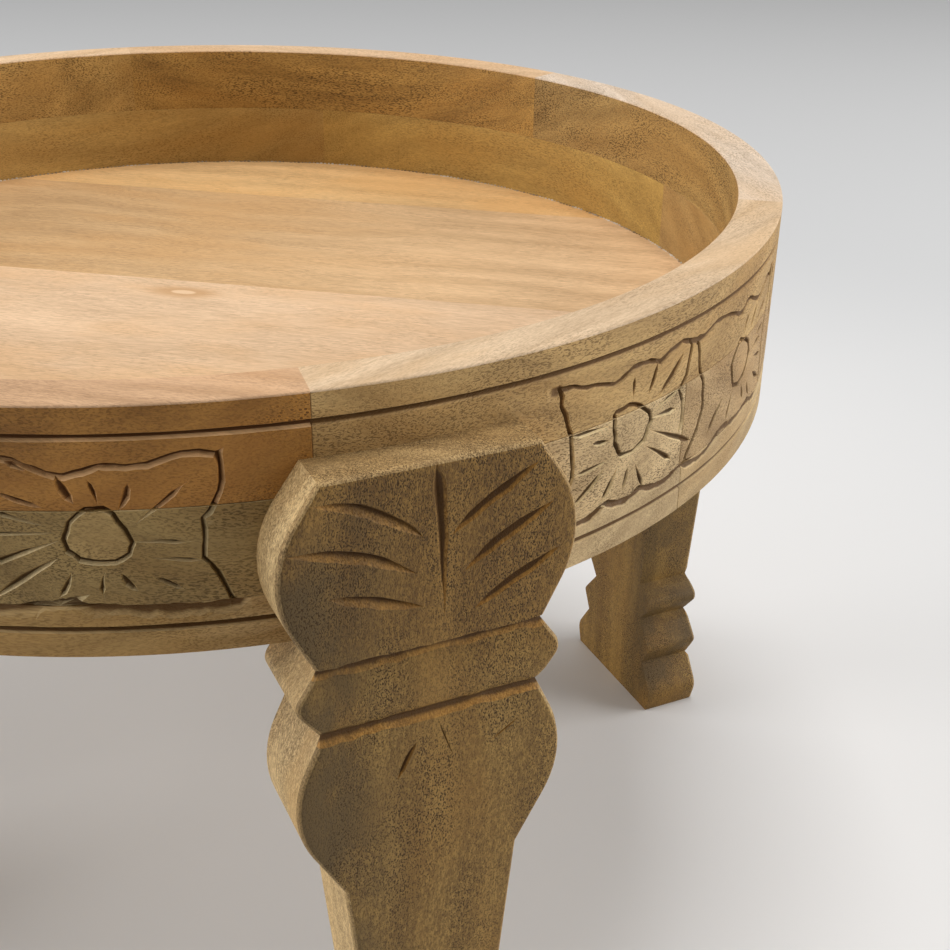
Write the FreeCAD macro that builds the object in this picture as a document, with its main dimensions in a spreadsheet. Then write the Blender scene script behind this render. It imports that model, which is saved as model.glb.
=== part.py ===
"""Round tray table: a two-course segmented ring on a plank floor, carried by four notched legs.

The frame has +Z up, the origin on the ground under the middle of the tray, and a leg on each horizontal axis.
"""
import FreeCAD
import Part
import Sketcher
import os

# Driving sizes, in millimetres and degrees, with what each one is
SIZES = [
    ("table_height", 404.0, "ground to the top of the rim"),
    ("tray_radius", 300.0, "outside of the ring and edge of the floor"),
    ("ring_wall", 21.0, "thickness of the ring"),
    ("upper_course", 39.0, "height of the upper row of ring segments"),
    ("lower_course", 38.0, "height of the lower row of ring segments"),
    ("floor_thickness", 21.0, "thickness of the floor boards"),
    ("segment_count", 6, "ring segments in each course"),
    ("upper_joint_angle", -7.0, "first joint of the upper course, from the front leg"),
    ("lower_joint_angle", 26.3, "first joint of the lower course, from the front leg"),
    ("turned_groove_width", 3.0, "width of the turned lines round the tray"),
    ("turned_groove_depth", 1.8, "depth of the turned lines round the tray"),
    ("rim_groove_drop", 11.5, "top of the rim to the middle of the upper turned line"),
    ("floor_groove_drop", 9.5, "top of the floor to the middle of the lower turned line"),
    ("board_angle", -35.5, "direction of the floor boards, from the X axis"),
    ("leg_count", 4, "legs round the tray"),
    ("leg_lap", 17.0, "thickness of the leg that laps over the outside of the ring"),
    ("leg_top_drop", 25.0, "top of the rim down to the flat top of the leg"),
    ("leg_top_half", 41.5, "half width of the flat top"),
    ("upper_lobe_rise", 35.7, "widest place of the upper lobe up to the flat top"),
    ("upper_lobe_half", 64.7, "half width of the upper lobe before rounding"),
    ("upper_lobe_round", 46.0, "rounding of the upper lobe"),
    ("upper_lobe_fall", 39.7, "widest place of the upper lobe down to its neck"),
    ("upper_neck_half", 44.5, "half width of the neck above the bead"),
    ("bead_rise", 14.4, "widest place of the bead up to the neck above it"),
    ("bead_half", 54.3, "half width of the bead before rounding"),
    ("bead_round", 7.0, "rounding of the bead"),
    ("bead_fall", 14.2, "widest place of the bead down to the neck below it"),
    ("lower_neck_half", 43.8, "half width of the neck below the bead"),
    ("lower_lobe_rise", 35.5, "widest place of the lower lobe up to the neck above it"),
    ("lower_lobe_half", 60.3, "half width of the lower lobe before rounding"),
    ("lower_lobe_round", 47.0, "rounding of the lower lobe"),
    ("lower_lobe_fall", 42.5, "widest place of the lower lobe down to the waist"),
    ("waist_top_half", 37.0, "half width at the top of the waist"),
    ("waist_end_half", 27.0, "half width at the bottom of the waist"),
    ("ankle_bead_rise", 10.5, "widest place of the ankle bead up to the waist"),
    ("ankle_bead_half", 42.5, "half width of the ankle bead before rounding"),
    ("ankle_bead_round", 6.0, "rounding of the ankle bead"),
    ("ankle_bead_fall", 15.5, "widest place of the ankle bead down to its neck"),
    ("ankle_neck_half", 30.0, "half width of the neck under the ankle bead"),
    ("flare_rise", 18.0, "widest place of the flared step up to the neck above it"),
    ("flare_half", 44.5, "half width of the flared step before rounding"),
    ("flare_round", 4.0, "rounding of the flared step"),
    ("flare_fall", 14.0, "widest place of the flared step down to its neck"),
    ("foot_neck_half", 37.0, "half width of the neck above the foot"),
    ("foot_rise", 20.0, "widest place of the foot up to the neck above it"),
    ("foot_half", 50.5, "half width of the foot before rounding"),
    ("foot_round", 12.0, "rounding of the foot"),
    ("foot_height", 14.0, "ground up to the widest place of the foot"),
    ("sole_half", 46.5, "half width of the foot where it stands"),
    ("neck_groove_width", 5.0, "width of the lines sawn across the leg at its necks"),
    ("neck_groove_depth", 3.2, "depth of the lines sawn across the leg at its necks"),
    ("dowel_clearance", 0.1, "room round a dowel in its hole, on the radius"),
    ("dowel_end_room", 1.0, "room for glue past each end of a dowel"),
    ("lap_dowel_radius", 5.0, "radius of the level dowels from leg to ring"),
    ("lap_dowel_spacing", 64.0, "between the two level dowels of a leg"),
    ("lap_dowel_cover", 5.0, "wood left over each end of a level dowel's hole"),
    ("shelf_dowel_radius", 4.0, "radius of the upright dowels from leg to floor"),
    ("shelf_dowel_spacing", 44.0, "between the two upright dowels of a leg"),
    ("shelf_dowel_depth", 26.0, "depth of the upright dowel's hole in the leg"),
    ("shelf_dowel_cover", 6.0, "floor left over the upright dowel's hole"),
    ("cut_overrun", 10.0, "how far a cutting shape runs past what it cuts"),
]
FULL_TURN = 360.0
QUARTER_TURN = 90.0
UPRIGHT = FreeCAD.Vector(0, 0, 1)
SAME_PLACE = 1e-4

doc = FreeCAD.newDocument("tray_table")
sheet = doc.addObject("Spreadsheet::Sheet", "sizes")
for row, (alias, number, meaning) in enumerate(SIZES, start=1):
    sheet.set(f"A{row}", meaning)
    sheet.set(f"B{row}", str(number))
    sheet.setAlias(f"B{row}", alias)
doc.recompute()

# Levels and radii that follow from the driving sizes, as expressions on the sheet
RIM_TOP = "sizes.table_height"
COURSE_SEAM = f"({RIM_TOP} - sizes.upper_course)"
FLOOR_TOP = f"({COURSE_SEAM} - sizes.lower_course)"
APRON_BOTTOM = f"({FLOOR_TOP} - sizes.floor_thickness)"
RING_OUTSIDE = "sizes.tray_radius"
RING_INSIDE = f"({RING_OUTSIDE} - sizes.ring_wall)"
LEG_FACE = f"({RING_OUTSIDE} + sizes.leg_lap)"
PLANK_REACH = f"({RING_OUTSIDE} + sizes.cut_overrun)"


def stacked(start, sign, steps):
    """Corners of an outline, each a step above or below the last: half width, height and any rounding."""
    corners = []
    height = start
    for half, step, rounding in steps:
        height = f"{height} {sign} sizes.{step}"
        corners.append((f"sizes.{half}", f"({height})", rounding))
    return corners


# The leg's outline hangs from the rim down to its waist and stands on the ground up to its waist
UPPER_CORNERS = stacked(RIM_TOP, "-", [
    ("leg_top_half", "leg_top_drop", None),
    ("upper_lobe_half", "upper_lobe_rise", "upper_lobe_round"),
    ("upper_neck_half", "upper_lobe_fall", None),
    ("bead_half", "bead_rise", "bead_round"),
    ("lower_neck_half", "bead_fall", None),
    ("lower_lobe_half", "lower_lobe_rise", "lower_lobe_round"),
    ("waist_top_half", "lower_lobe_fall", None),
])
LOWER_CORNERS = stacked("0", "+", [
    ("foot_half", "foot_height", "foot_round"),
    ("foot_neck_half", "foot_rise", None),
    ("flare_half", "flare_fall", "flare_round"),
    ("ankle_neck_half", "flare_rise", None),
    ("ankle_bead_half", "ankle_bead_fall", "ankle_bead_round"),
    ("waist_end_half", "ankle_bead_rise", None),
])
SOLE_CORNER = ("sizes.sole_half", "0", None)
LEG_CORNERS = UPPER_CORNERS + LOWER_CORNERS[::-1] + [SOLE_CORNER]
NECKS = ["upper_neck_half", "lower_neck_half", "ankle_neck_half", "foot_neck_half"]
GROOVED_NECKS = [height for half, height, _ in LEG_CORNERS if half in [f"sizes.{neck}" for neck in NECKS]]
# Joints between the floor boards, from the middle of the tray, as shares of its radius
BOARD_JOINT_SHARES = [-0.467, 0.09, 0.647]
LEG_NAMES = ["front_leg", "right_leg", "back_leg", "left_leg"]


def value(expression):
    """The number that an expression on the sheet gives."""
    result = sheet.evalExpression(expression)
    return float(getattr(result, "Value", result))


def origin_plane(body, role):
    """One of the body's own origin planes."""
    planes = [feature for feature in body.Origin.OriginFeatures if feature.Role == role]
    return planes[0]


def attached_sketch(body, name, role, lift="0"):
    """An empty sketch on an origin plane of the body, lifted along the plane's normal."""
    sketch = body.newObject("Sketcher::SketchObject", name)
    sketch.AttachmentSupport = [(origin_plane(body, role), "")]
    sketch.MapMode = "FlatFace"
    sketch.setExpression("AttachmentOffset.Base.z", lift)
    return sketch


def add_loop(sketch, corners):
    """A closed loop of straight lines, each corner held by two expressions."""
    axes, start, end = -1, 1, 2
    points = [FreeCAD.Vector(value(across), value(up), 0) for across, up in corners]
    first = sketch.GeometryCount
    for here, there in zip(points, points[1:] + points[:1]):
        sketch.addGeometry(Part.LineSegment(here, there))
    for place, (across, up) in enumerate(corners):
        line = first + place
        following = first + (place + 1) % len(corners)
        sketch.addConstraint(Sketcher.Constraint("Coincident", line, end, following, start))
        for kind, expression in (("DistanceX", across), ("DistanceY", up)):
            held = Sketcher.Constraint(kind, axes, start, line, start, value(expression))
            number = sketch.addConstraint(held)
            sketch.setExpression(f"Constraints[{number}]", expression)


def grooved_section(top, bottom, inside, groove):
    """Corners of a ring or floor section whose outside may hold a turned V line at a given height."""
    corners = [(inside, bottom), (RING_OUTSIDE, bottom)]
    if groove:
        half = "sizes.turned_groove_width / 2"
        corners.append((RING_OUTSIDE, f"{groove} - {half}"))
        corners.append((f"{RING_OUTSIDE} - sizes.turned_groove_depth", groove))
        corners.append((RING_OUTSIDE, f"{groove} + {half}"))
    return corners + [(RING_OUTSIDE, top), (inside, top)]


def turned_body(name, section, angle):
    """A body turned from a section about the upright axis, its middle over the X axis."""
    body = doc.addObject("PartDesign::Body", name)
    sketch = attached_sketch(body, f"{name}_section", "XZ_Plane")
    add_loop(sketch, section)
    turn = body.newObject("PartDesign::Revolution", f"{name}_turn")
    turn.Profile = sketch
    turn.ReferenceAxis = (sketch, ["V_Axis"])
    turn.Midplane = True
    turn.setExpression("Angle", angle)
    return body


def ring_course(course, top, bottom, groove, joint):
    """The segments of one course of the ring, end to end from its first joint."""
    span = f"{FULL_TURN} / sizes.segment_count"
    bodies = []
    for place in range(round(value("sizes.segment_count"))):
        body = turned_body(f"{course}_{place + 1}", grooved_section(top, bottom, RING_INSIDE, groove), span)
        angle = value(joint) - QUARTER_TURN + (place + 0.5) * value(span)
        body.Placement.Rotation = FreeCAD.Rotation(UPRIGHT, angle)
        bodies.append(body)
    return bodies


def corner_edges(shape, half, height):
    """Names of the two level edges of a leg that stand at one corner of its outline."""
    names = []
    for number, edge in enumerate(shape.Edges, start=1):
        ends = [vertex.Point for vertex in edge.Vertexes]
        at_corner = [abs(abs(p.x) - half) < SAME_PLACE and abs(p.z - height) < SAME_PLACE for p in ends]
        if len(ends) == 2 and all(at_corner) and (ends[0] - ends[1]).Length > SAME_PLACE:
            names.append(f"Edge{number}")
    return names


def round_corners(body, shaped):
    """Round the lobes and beads of a leg, each with the radius that its corner names."""
    for half, height, rounding in LEG_CORNERS:
        if rounding is None:
            continue
        doc.recompute()
        edges = corner_edges(shaped.Shape, value(half), value(height))
        fillet = body.newObject("PartDesign::Fillet", f"{body.Name}_{rounding}")
        fillet.Base = (shaped, edges)
        fillet.setExpression("Radius", f"sizes.{rounding}")
        shaped = fillet
    doc.recompute()


def cut_away(body, sketch, reverse, both_sides):
    """A cut right through the body, tested to have taken wood away."""
    before = body.Shape.Volume
    pocket = body.newObject("PartDesign::Pocket", f"{sketch.Name}_cut")
    pocket.Profile = sketch
    pocket.Type = "ThroughAll"
    pocket.Reversed = reverse
    pocket.Midplane = both_sides
    doc.recompute()
    if not body.Shape.Volume < before - SAME_PLACE:
        raise ValueError(f"{sketch.Name} cut nothing")


def leg_body(name):
    """One leg at the front: a flat sawn board, notched for the tray and grooved at its necks."""
    body = doc.addObject("PartDesign::Body", name)
    right = [(half, height) for half, height, _ in LEG_CORNERS]
    left = [(f"-{half}", height) for half, height in reversed(right)]
    outline = attached_sketch(body, f"{name}_outline", "XZ_Plane", RING_INSIDE)
    add_loop(outline, right + left)
    board = body.newObject("PartDesign::Pad", f"{name}_board")
    board.Profile = outline
    board.setExpression("Length", f"{LEG_FACE} - {RING_INSIDE}")
    round_corners(body, board)

    seat = attached_sketch(body, f"{name}_tray_seat", "XY_Plane", APRON_BOTTOM)
    seat.addGeometry(Part.Circle(FreeCAD.Vector(0, 0, 0), UPRIGHT, value(RING_OUTSIDE)))
    seat.addConstraint(Sketcher.Constraint("Coincident", 0, 3, -1, 1))
    radius = seat.addConstraint(Sketcher.Constraint("Radius", 0, value(RING_OUTSIDE)))
    seat.setExpression(f"Constraints[{radius}]", RING_OUTSIDE)
    cut_away(body, seat, reverse=True, both_sides=False)

    lines = attached_sketch(body, f"{name}_neck_lines", "YZ_Plane")
    half = "sizes.neck_groove_width / 2"
    mouth = f"-({LEG_FACE} + sizes.neck_groove_depth)"
    for neck in GROOVED_NECKS:
        upper = (mouth, f"{neck} + 2 * {half}")
        lower = (mouth, f"{neck} - 2 * {half}")
        valley = (f"-({LEG_FACE} - sizes.neck_groove_depth)", neck)
        add_loop(lines, [upper, lower, valley])
    cut_away(body, lines, reverse=False, both_sides=True)
    return body


def dowel_rods(name, leg_angle, spacing, radius, start, length, direction, room, slack):
    """The two rods of one leg, at the front first and then turned to the leg's own place."""
    turn = FreeCAD.Rotation(UPRIGHT, leg_angle)
    rods = []
    for side in (-1, 1):
        rod = doc.addObject("Part::Cylinder", f"{name}_{len(doc.Objects)}")
        rod.setExpression("Radius", f"{radius} + {slack}")
        rod.setExpression("Height", f"{length} + 2 * {room}")
        foot = start + FreeCAD.Vector(side * value(spacing) / 2, 0, 0) - direction * value(room)
        aim = FreeCAD.Rotation(UPRIGHT, direction)
        rod.Placement = FreeCAD.Placement(turn.multVec(foot), turn * aim)
        rods.append(rod)
    return rods


def lap_dowels(name, leg_angle, room="0", slack="0"):
    """Level rods through the lap of one leg into the lower course of the ring, blind at both ends."""
    length = f"{LEG_FACE} - {RING_INSIDE} - 2 * sizes.lap_dowel_cover - 2 * sizes.dowel_end_room"
    middle = f"({COURSE_SEAM} + {FLOOR_TOP}) / 2"
    outer_end = f"{LEG_FACE} - sizes.lap_dowel_cover - sizes.dowel_end_room"
    start = FreeCAD.Vector(0, -value(outer_end), value(middle))
    return dowel_rods(name, leg_angle, "sizes.lap_dowel_spacing", "sizes.lap_dowel_radius", start, length,
                      FreeCAD.Vector(0, 1, 0), room, slack)


def shelf_dowels(name, leg_angle, room="0", slack="0"):
    """Upright rods from the shelf of one leg into the floor boards, blind at both ends."""
    depth = "sizes.shelf_dowel_depth + sizes.floor_thickness - sizes.shelf_dowel_cover"
    length = f"{depth} - 2 * sizes.dowel_end_room"
    lower_end = f"{APRON_BOTTOM} - sizes.shelf_dowel_depth + sizes.dowel_end_room"
    start = FreeCAD.Vector(0, -value(f"({RING_OUTSIDE} + {RING_INSIDE}) / 2"), value(lower_end))
    return dowel_rods(name, leg_angle, "sizes.shelf_dowel_spacing", "sizes.shelf_dowel_radius", start, length,
                      UPRIGHT, room, slack)


def group(name, members):
    """Several solids kept together as one piece."""
    bundle = doc.addObject("Part::Compound", name)
    bundle.Links = members
    return bundle


def drilled(name, base, holes):
    """A piece with the dowel holes cut out of it."""
    piece = doc.addObject("Part::Cut", name)
    piece.Base = base
    piece.Tool = holes
    return piece


def floor_board(number, disc, near, far):
    """One board of the floor: the part of the grooved disc between two joints."""
    plank = doc.addObject("Part::Box", f"plank_{number}")
    plank.setExpression("Length", f"2 * {PLANK_REACH}")
    plank.setExpression("Width", f"{far} - {near}")
    plank.setExpression("Height", "sizes.floor_thickness + 2 * sizes.cut_overrun")
    corner = FreeCAD.Vector(-value(PLANK_REACH), value(near), value(f"{APRON_BOTTOM} - sizes.cut_overrun"))
    along = FreeCAD.Rotation(UPRIGHT, value("sizes.board_angle"))
    plank.Placement = FreeCAD.Placement(along.multVec(corner), along)
    board = doc.addObject("Part::Common", f"sawn_board_{number}")
    board.Base = disc
    board.Tool = plank
    return board


def board_limits():
    """Places of the joints between the floor boards, with the two outer limits past the rim."""
    inner = [f"({share} * {RING_OUTSIDE})" for share in BOARD_JOINT_SHARES]
    return [f"-{PLANK_REACH}"] + inner + [PLANK_REACH]


# Ring, floor and legs before drilling
rim_line = f"({RIM_TOP} - sizes.rim_groove_drop)"
floor_line = f"({FLOOR_TOP} - sizes.floor_groove_drop)"
upper_ring = ring_course("upper_rim_segment", RIM_TOP, COURSE_SEAM, rim_line, "sizes.upper_joint_angle")
lower_ring = ring_course("lower_rim_blank", COURSE_SEAM, FLOOR_TOP, None, "sizes.lower_joint_angle")
floor_section = grooved_section(FLOOR_TOP, APRON_BOTTOM, "0", floor_line)
floor_disc = turned_body("floor_disc", floor_section, str(FULL_TURN))
leg_total = round(value("sizes.leg_count"))
leg_angles = [FULL_TURN * place / leg_total for place in range(leg_total)]
leg_names = LEG_NAMES
if leg_total != len(LEG_NAMES):
    leg_names = [f"leg_{place + 1}" for place in range(leg_total)]
legs = []
for leg_name, leg_angle in zip(leg_names, leg_angles):
    leg = leg_body(f"{leg_name}_blank")
    leg.Placement.Rotation = FreeCAD.Rotation(UPRIGHT, leg_angle)
    legs.append(leg)

# Dowels and the holes they sit in
lap_rods, shelf_rods, lap_holes, shelf_holes = [], [], [], []
for leg_angle in leg_angles:
    lap_rods += lap_dowels("lap_rod", leg_angle)
    shelf_rods += shelf_dowels("shelf_rod", leg_angle)
    lap_holes += lap_dowels("lap_hole", leg_angle, "sizes.dowel_end_room", "sizes.dowel_clearance")
    shelf_holes += shelf_dowels("shelf_hole", leg_angle, "sizes.dowel_end_room", "sizes.dowel_clearance")
lap_drill = group("lap_drill", lap_holes)
shelf_drill = group("shelf_drill", shelf_holes)
both_drills = group("both_drills", [lap_drill, shelf_drill])

# The finished pieces, each in a file of its own
pieces = list(upper_ring)
for place, segment in enumerate(lower_ring, start=1):
    pieces.append(drilled(f"lower_rim_segment_{place}", segment, lap_drill))
limits = board_limits()
for place, (near, far) in enumerate(zip(limits, limits[1:]), start=1):
    pieces.append(drilled(f"floor_board_{place}", floor_board(place, floor_disc, near, far), shelf_drill))
for leg_name, leg in zip(leg_names, legs):
    pieces.append(drilled(leg_name, leg, both_drills))
pieces.append(group("leg_lap_dowels", lap_rods))
pieces.append(group("leg_shelf_dowels", shelf_rods))
doc.recompute()

for made in doc.Objects:
    if "Invalid" in made.State or "Error" in made.State:
        raise ValueError(f"{made.Label} failed: {made.State}")
for piece in pieces:
    piece.Label = piece.Name
    if piece.Shape.isNull() or not piece.Shape.isValid():
        raise ValueError(f"{piece.Label} has no valid shape")

os.makedirs("parts", exist_ok=True)
for piece in pieces:
    piece.Shape.exportStep(f"parts/{piece.Label}.step")
    print(f"{piece.Label}: {len(piece.Shape.Solids)} solids, {piece.Shape.Volume:.0f} cubic millimetres")
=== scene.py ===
# %% [markdown]
# # A round carved tray table
#
# The table is a shallow round tray of mango wood on four flat sawn legs. Its ring is glued up from two
# courses of segments, its floor from four boards, and flowers, borders and leaves are cut into it by hand
# with a V gouge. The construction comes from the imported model. This lesson gives each piece its carving,
# its worn edges and its wood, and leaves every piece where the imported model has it.

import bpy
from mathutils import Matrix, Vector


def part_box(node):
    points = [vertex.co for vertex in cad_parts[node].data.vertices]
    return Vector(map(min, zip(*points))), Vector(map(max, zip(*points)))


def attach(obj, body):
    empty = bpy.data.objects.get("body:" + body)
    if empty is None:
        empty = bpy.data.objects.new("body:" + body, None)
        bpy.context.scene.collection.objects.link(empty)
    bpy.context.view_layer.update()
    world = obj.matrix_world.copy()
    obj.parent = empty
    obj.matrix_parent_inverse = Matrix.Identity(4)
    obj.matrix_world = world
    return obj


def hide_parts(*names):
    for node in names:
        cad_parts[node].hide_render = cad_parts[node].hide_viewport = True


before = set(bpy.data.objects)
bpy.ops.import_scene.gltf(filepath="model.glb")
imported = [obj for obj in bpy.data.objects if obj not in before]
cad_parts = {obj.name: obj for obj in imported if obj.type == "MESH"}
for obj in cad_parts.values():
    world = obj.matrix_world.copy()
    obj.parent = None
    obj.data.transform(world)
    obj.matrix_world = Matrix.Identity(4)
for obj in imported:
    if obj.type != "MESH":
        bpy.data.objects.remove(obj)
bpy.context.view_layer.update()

# %% [markdown]
# ## Measures
#
# A maker measures the tray before carving it. All levels and radii are read from the boxes of the packed
# pieces, so the carved pieces can only come out at the size of the construction. Turns round the tray are
# counted anticlockwise from the front leg, which faces -Y.

# %% Read levels and radii from the pieces
import bmesh
import bpy
import math
import random
import numpy as np
from mathutils import Matrix, Vector
from mathutils.geometry import delaunay_2d_cdt

MM = 0.001
SEGMENTS = 6
RIM_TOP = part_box("upper_rim_segment_1")[1].z
COURSE_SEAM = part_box("upper_rim_segment_1")[0].z
FLOOR_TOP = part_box("lower_rim_segment_1")[0].z
APRON_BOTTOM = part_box("floor_board_1")[0].z
RING_IN = -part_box("front_leg")[1].y
RING_OUT = round(max(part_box(f"upper_rim_segment_{n + 1}")[1].x for n in range(SEGMENTS)), 4)
print(f"ring {RING_IN:.4f} to {RING_OUT:.4f}, rim {RIM_TOP:.4f}, floor {FLOOR_TOP:.4f}")


def round_tray(turn, radius, height):
    """The point at a turn from the front leg, a distance from the middle and a height."""
    return Vector((radius * math.sin(turn), -radius * math.cos(turn), height))


# %% [markdown]
# ## Camera
#
# The photographer stood close and looked down into the tray. A camera could be framed by eye, but then no
# edge would fall quite right. Its place, its three turns and its focal length come from fitting ellipses
# to the rim and its seams, so they are set once.

# %% Stand the camera where the photograph was taken
IMAGE_SIDE = 950
FOCAL_PIXELS = 1393
SENSOR_MM = 36
CAMERA_PLACE = Vector((-0.1682, -0.7007, 0.5947))
YAW, PITCH, ROLL = math.radians(25.55), math.radians(27.76), math.radians(1.0)

ahead = Vector((math.sin(YAW) * math.cos(PITCH), math.cos(YAW) * math.cos(PITCH), -math.sin(PITCH)))
level = Vector((math.cos(YAW), -math.sin(YAW), 0))
above = level.cross(ahead)
right = level * math.cos(ROLL) + above * math.sin(ROLL)
up = above * math.cos(ROLL) - level * math.sin(ROLL)
camera = bpy.data.objects.new("camera", bpy.data.cameras.new("camera"))
camera.data.sensor_width = SENSOR_MM
camera.data.lens = SENSOR_MM * FOCAL_PIXELS / IMAGE_SIDE
camera.matrix_world = Matrix.Translation(CAMERA_PLACE) @ Matrix((right, up, -ahead)).transposed().to_4x4()
bpy.context.scene.collection.objects.link(camera)
bpy.context.scene.camera = camera
bpy.context.scene.view_settings.view_transform = "Standard"
print(f"lens {camera.data.lens:.1f} mm")

# %% [markdown]
# ## Writing materials as sums
#
# A wood finish is a long sum of noises. Written node by node it cannot be read, so one small class wraps
# a socket: adding or multiplying two of them adds a Math node, and `make` adds any other node.


# %% A socket that can be added and multiplied
class Wire:
    """An output socket in a node tree, with arithmetic that adds Math nodes."""

    def __init__(self, tree, socket=None):
        self.tree = tree
        self.socket = socket

    def make(self, kind, settings=None, inputs=None, output=0):
        """Add a node: its settings first, then the values or links of its sockets."""
        node = self.tree.nodes.new(kind)
        for name, value in (settings or {}).items():
            setattr(node, name, value)
        for name, value in (inputs or {}).items():
            if isinstance(value, Wire):
                self.tree.links.new(value.socket, node.inputs[name])
            else:
                node.inputs[name].default_value = value
        return Wire(self.tree, node.outputs[output] if len(node.outputs) else None)

    def math(self, operation, first, second):
        return self.make("ShaderNodeMath", {"operation": operation}, {0: first, 1: second})

    def __add__(self, other):
        return self.math("ADD", self, other)

    def __radd__(self, other):
        return self.math("ADD", other, self)

    def __sub__(self, other):
        return self.math("SUBTRACT", self, other)

    def __rsub__(self, other):
        return self.math("SUBTRACT", other, self)

    def __mul__(self, other):
        return self.math("MULTIPLY", self, other)

    def step(self, low, high):
        """A smooth step from 0 at low to 1 at high, in either direction."""
        if low > high:
            return 1 - self.step(high, low)
        limits = {"Value": self, "From Min": low, "From Max": high}
        return self.make("ShaderNodeMapRange", {"interpolation_type": "SMOOTHSTEP"}, limits)

    def mix(self, first, second):
        """A colour between two others, with this value as the share of the second."""
        return self.make("ShaderNodeMix", {"data_type": "RGBA"}, {0: self, 6: first, 7: second}, output=2)


def new_tree(owner):
    """An empty node tree of a material or the world, as a wire to build from."""
    owner.use_nodes = True
    owner.node_tree.nodes.clear()
    return Wire(owner.node_tree)


def colour(red, green, blue):
    """A colour as a shader socket takes it."""
    return (red, green, blue, 1.0)


# %% [markdown]
# ## Studio
#
# The table stands on seamless pale paper whose colour turns to grey further out: painted falloff of the
# light. Three large soft lamps light it: one hangs above, one stands on the right and one on the left, a
# little behind. The tray is bright, the front is in half shade and the gouge cuts show, and the paper
# throws light back up at the legs. Rays that the camera or a gloss sends past the paper see the same
# pale tone, and all others see a dim sky. An even sky alone would be simpler, but then no side of a cut
# would be darker than the other.

# %% Paper floor
FLOOR_SIDE = 10.0
# distances in metres over which the paper is painted darker, as painted falloff of the light
PAINTED_FALLOFF_FROM, PAINTED_FALLOFF_TO = 0.35, 1.3
PAPER_NEAR = (0.72, 0.71, 0.70)
PAPER_FAR_PAINTED_SHADE = (0.55, 0.55, 0.55)

floor_mesh = bpy.data.meshes.new("studio_floor")
corner_signs = [(-1, -1), (1, -1), (1, 1), (-1, 1)]
corners = [(x * FLOOR_SIDE / 2, y * FLOOR_SIDE / 2, 0) for x, y in corner_signs]
floor_mesh.from_pydata(corners, [], [range(len(corners))])
studio_floor = bpy.data.objects.new("studio_floor", floor_mesh)
bpy.context.scene.collection.objects.link(studio_floor)
paper = bpy.data.materials.new("studio_paper")
start = new_tree(paper)
place = start.make("ShaderNodeTexCoord", output="Object")
away = start.make("ShaderNodeVectorMath", {"operation": "LENGTH"}, {0: place}, output="Value")
painted_falloff = away.step(PAINTED_FALLOFF_FROM, PAINTED_FALLOFF_TO).mix(colour(*PAPER_NEAR), colour(*PAPER_FAR_PAINTED_SHADE))
sheen = start.make("ShaderNodeBsdfPrincipled", {}, {"Base Color": painted_falloff, "Roughness": 0.9})
start.make("ShaderNodeOutputMaterial", {}, {"Surface": sheen})
floor_mesh.materials.append(paper)
print("paper", FLOOR_SIDE, "m wide")

# %% Sky and lamps
SKY_LIGHT = 0.20
BACKDROP = 0.70
LAMP_TARGET = Vector((0, 0, 0.3))
LAMPS = {
    # place and side in metres, power in watts
    "top_lamp": ((0.1, 0.2, 4.6), 2.0, 122),
    "right_lamp": ((3.8, -1.5, 1.7), 3.0, 150),
    "left_lamp": ((-3.9, 1.4, 1.5), 3.0, 165),
}

world = bpy.data.worlds.new("studio_sky")
bpy.context.scene.world = world
start = new_tree(world)
seen = start.make("ShaderNodeLightPath", output="Is Camera Ray")
seen = seen + start.make("ShaderNodeLightPath", output="Is Glossy Ray")
seen = seen + start.make("ShaderNodeLightPath", output="Is Transmission Ray")
white, grey = colour(1.0, 1.0, 1.0), colour(BACKDROP, BACKDROP, BACKDROP)
dim = start.make("ShaderNodeBackground", {}, {"Color": white, "Strength": SKY_LIGHT})
pale = start.make("ShaderNodeBackground", {}, {"Color": grey, "Strength": 1.0})
sky = start.make("ShaderNodeMixShader", {}, {0: seen, 1: dim, 2: pale})
start.make("ShaderNodeOutputWorld", {}, {"Surface": sky})

for name, (place, side, power) in LAMPS.items():
    lamp = bpy.data.objects.new(name, bpy.data.lights.new(name, "AREA"))
    lamp.data.size = side
    lamp.data.energy = power
    lamp.location = place
    lamp.rotation_euler = (LAMP_TARGET - Vector(place)).to_track_quat("-Z", "Y").to_euler()
    bpy.context.scene.collection.objects.link(lamp)
    print(name, "power", power)

# %% [markdown]
# ## Wood
#
# Mango wood has pale and brown layers, faint growth rings, dark open pores and grey stains. A picture of
# wood could be wrapped round each piece, but its grain would break off at every edge. A board is one
# block of wood, so the finish is solid: it is worked out in the block's own directions, with the grain
# along X, and every face cuts through it. A long face then shows dashes for pores, an end face shows
# dots, and a curved face shows the layers as slanting streaks, as real wood does.

# %% A block of wood and its noises
WANDER = (0.0, 0.016, 0.016)
WANDER_SCALE = 9.0


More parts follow.
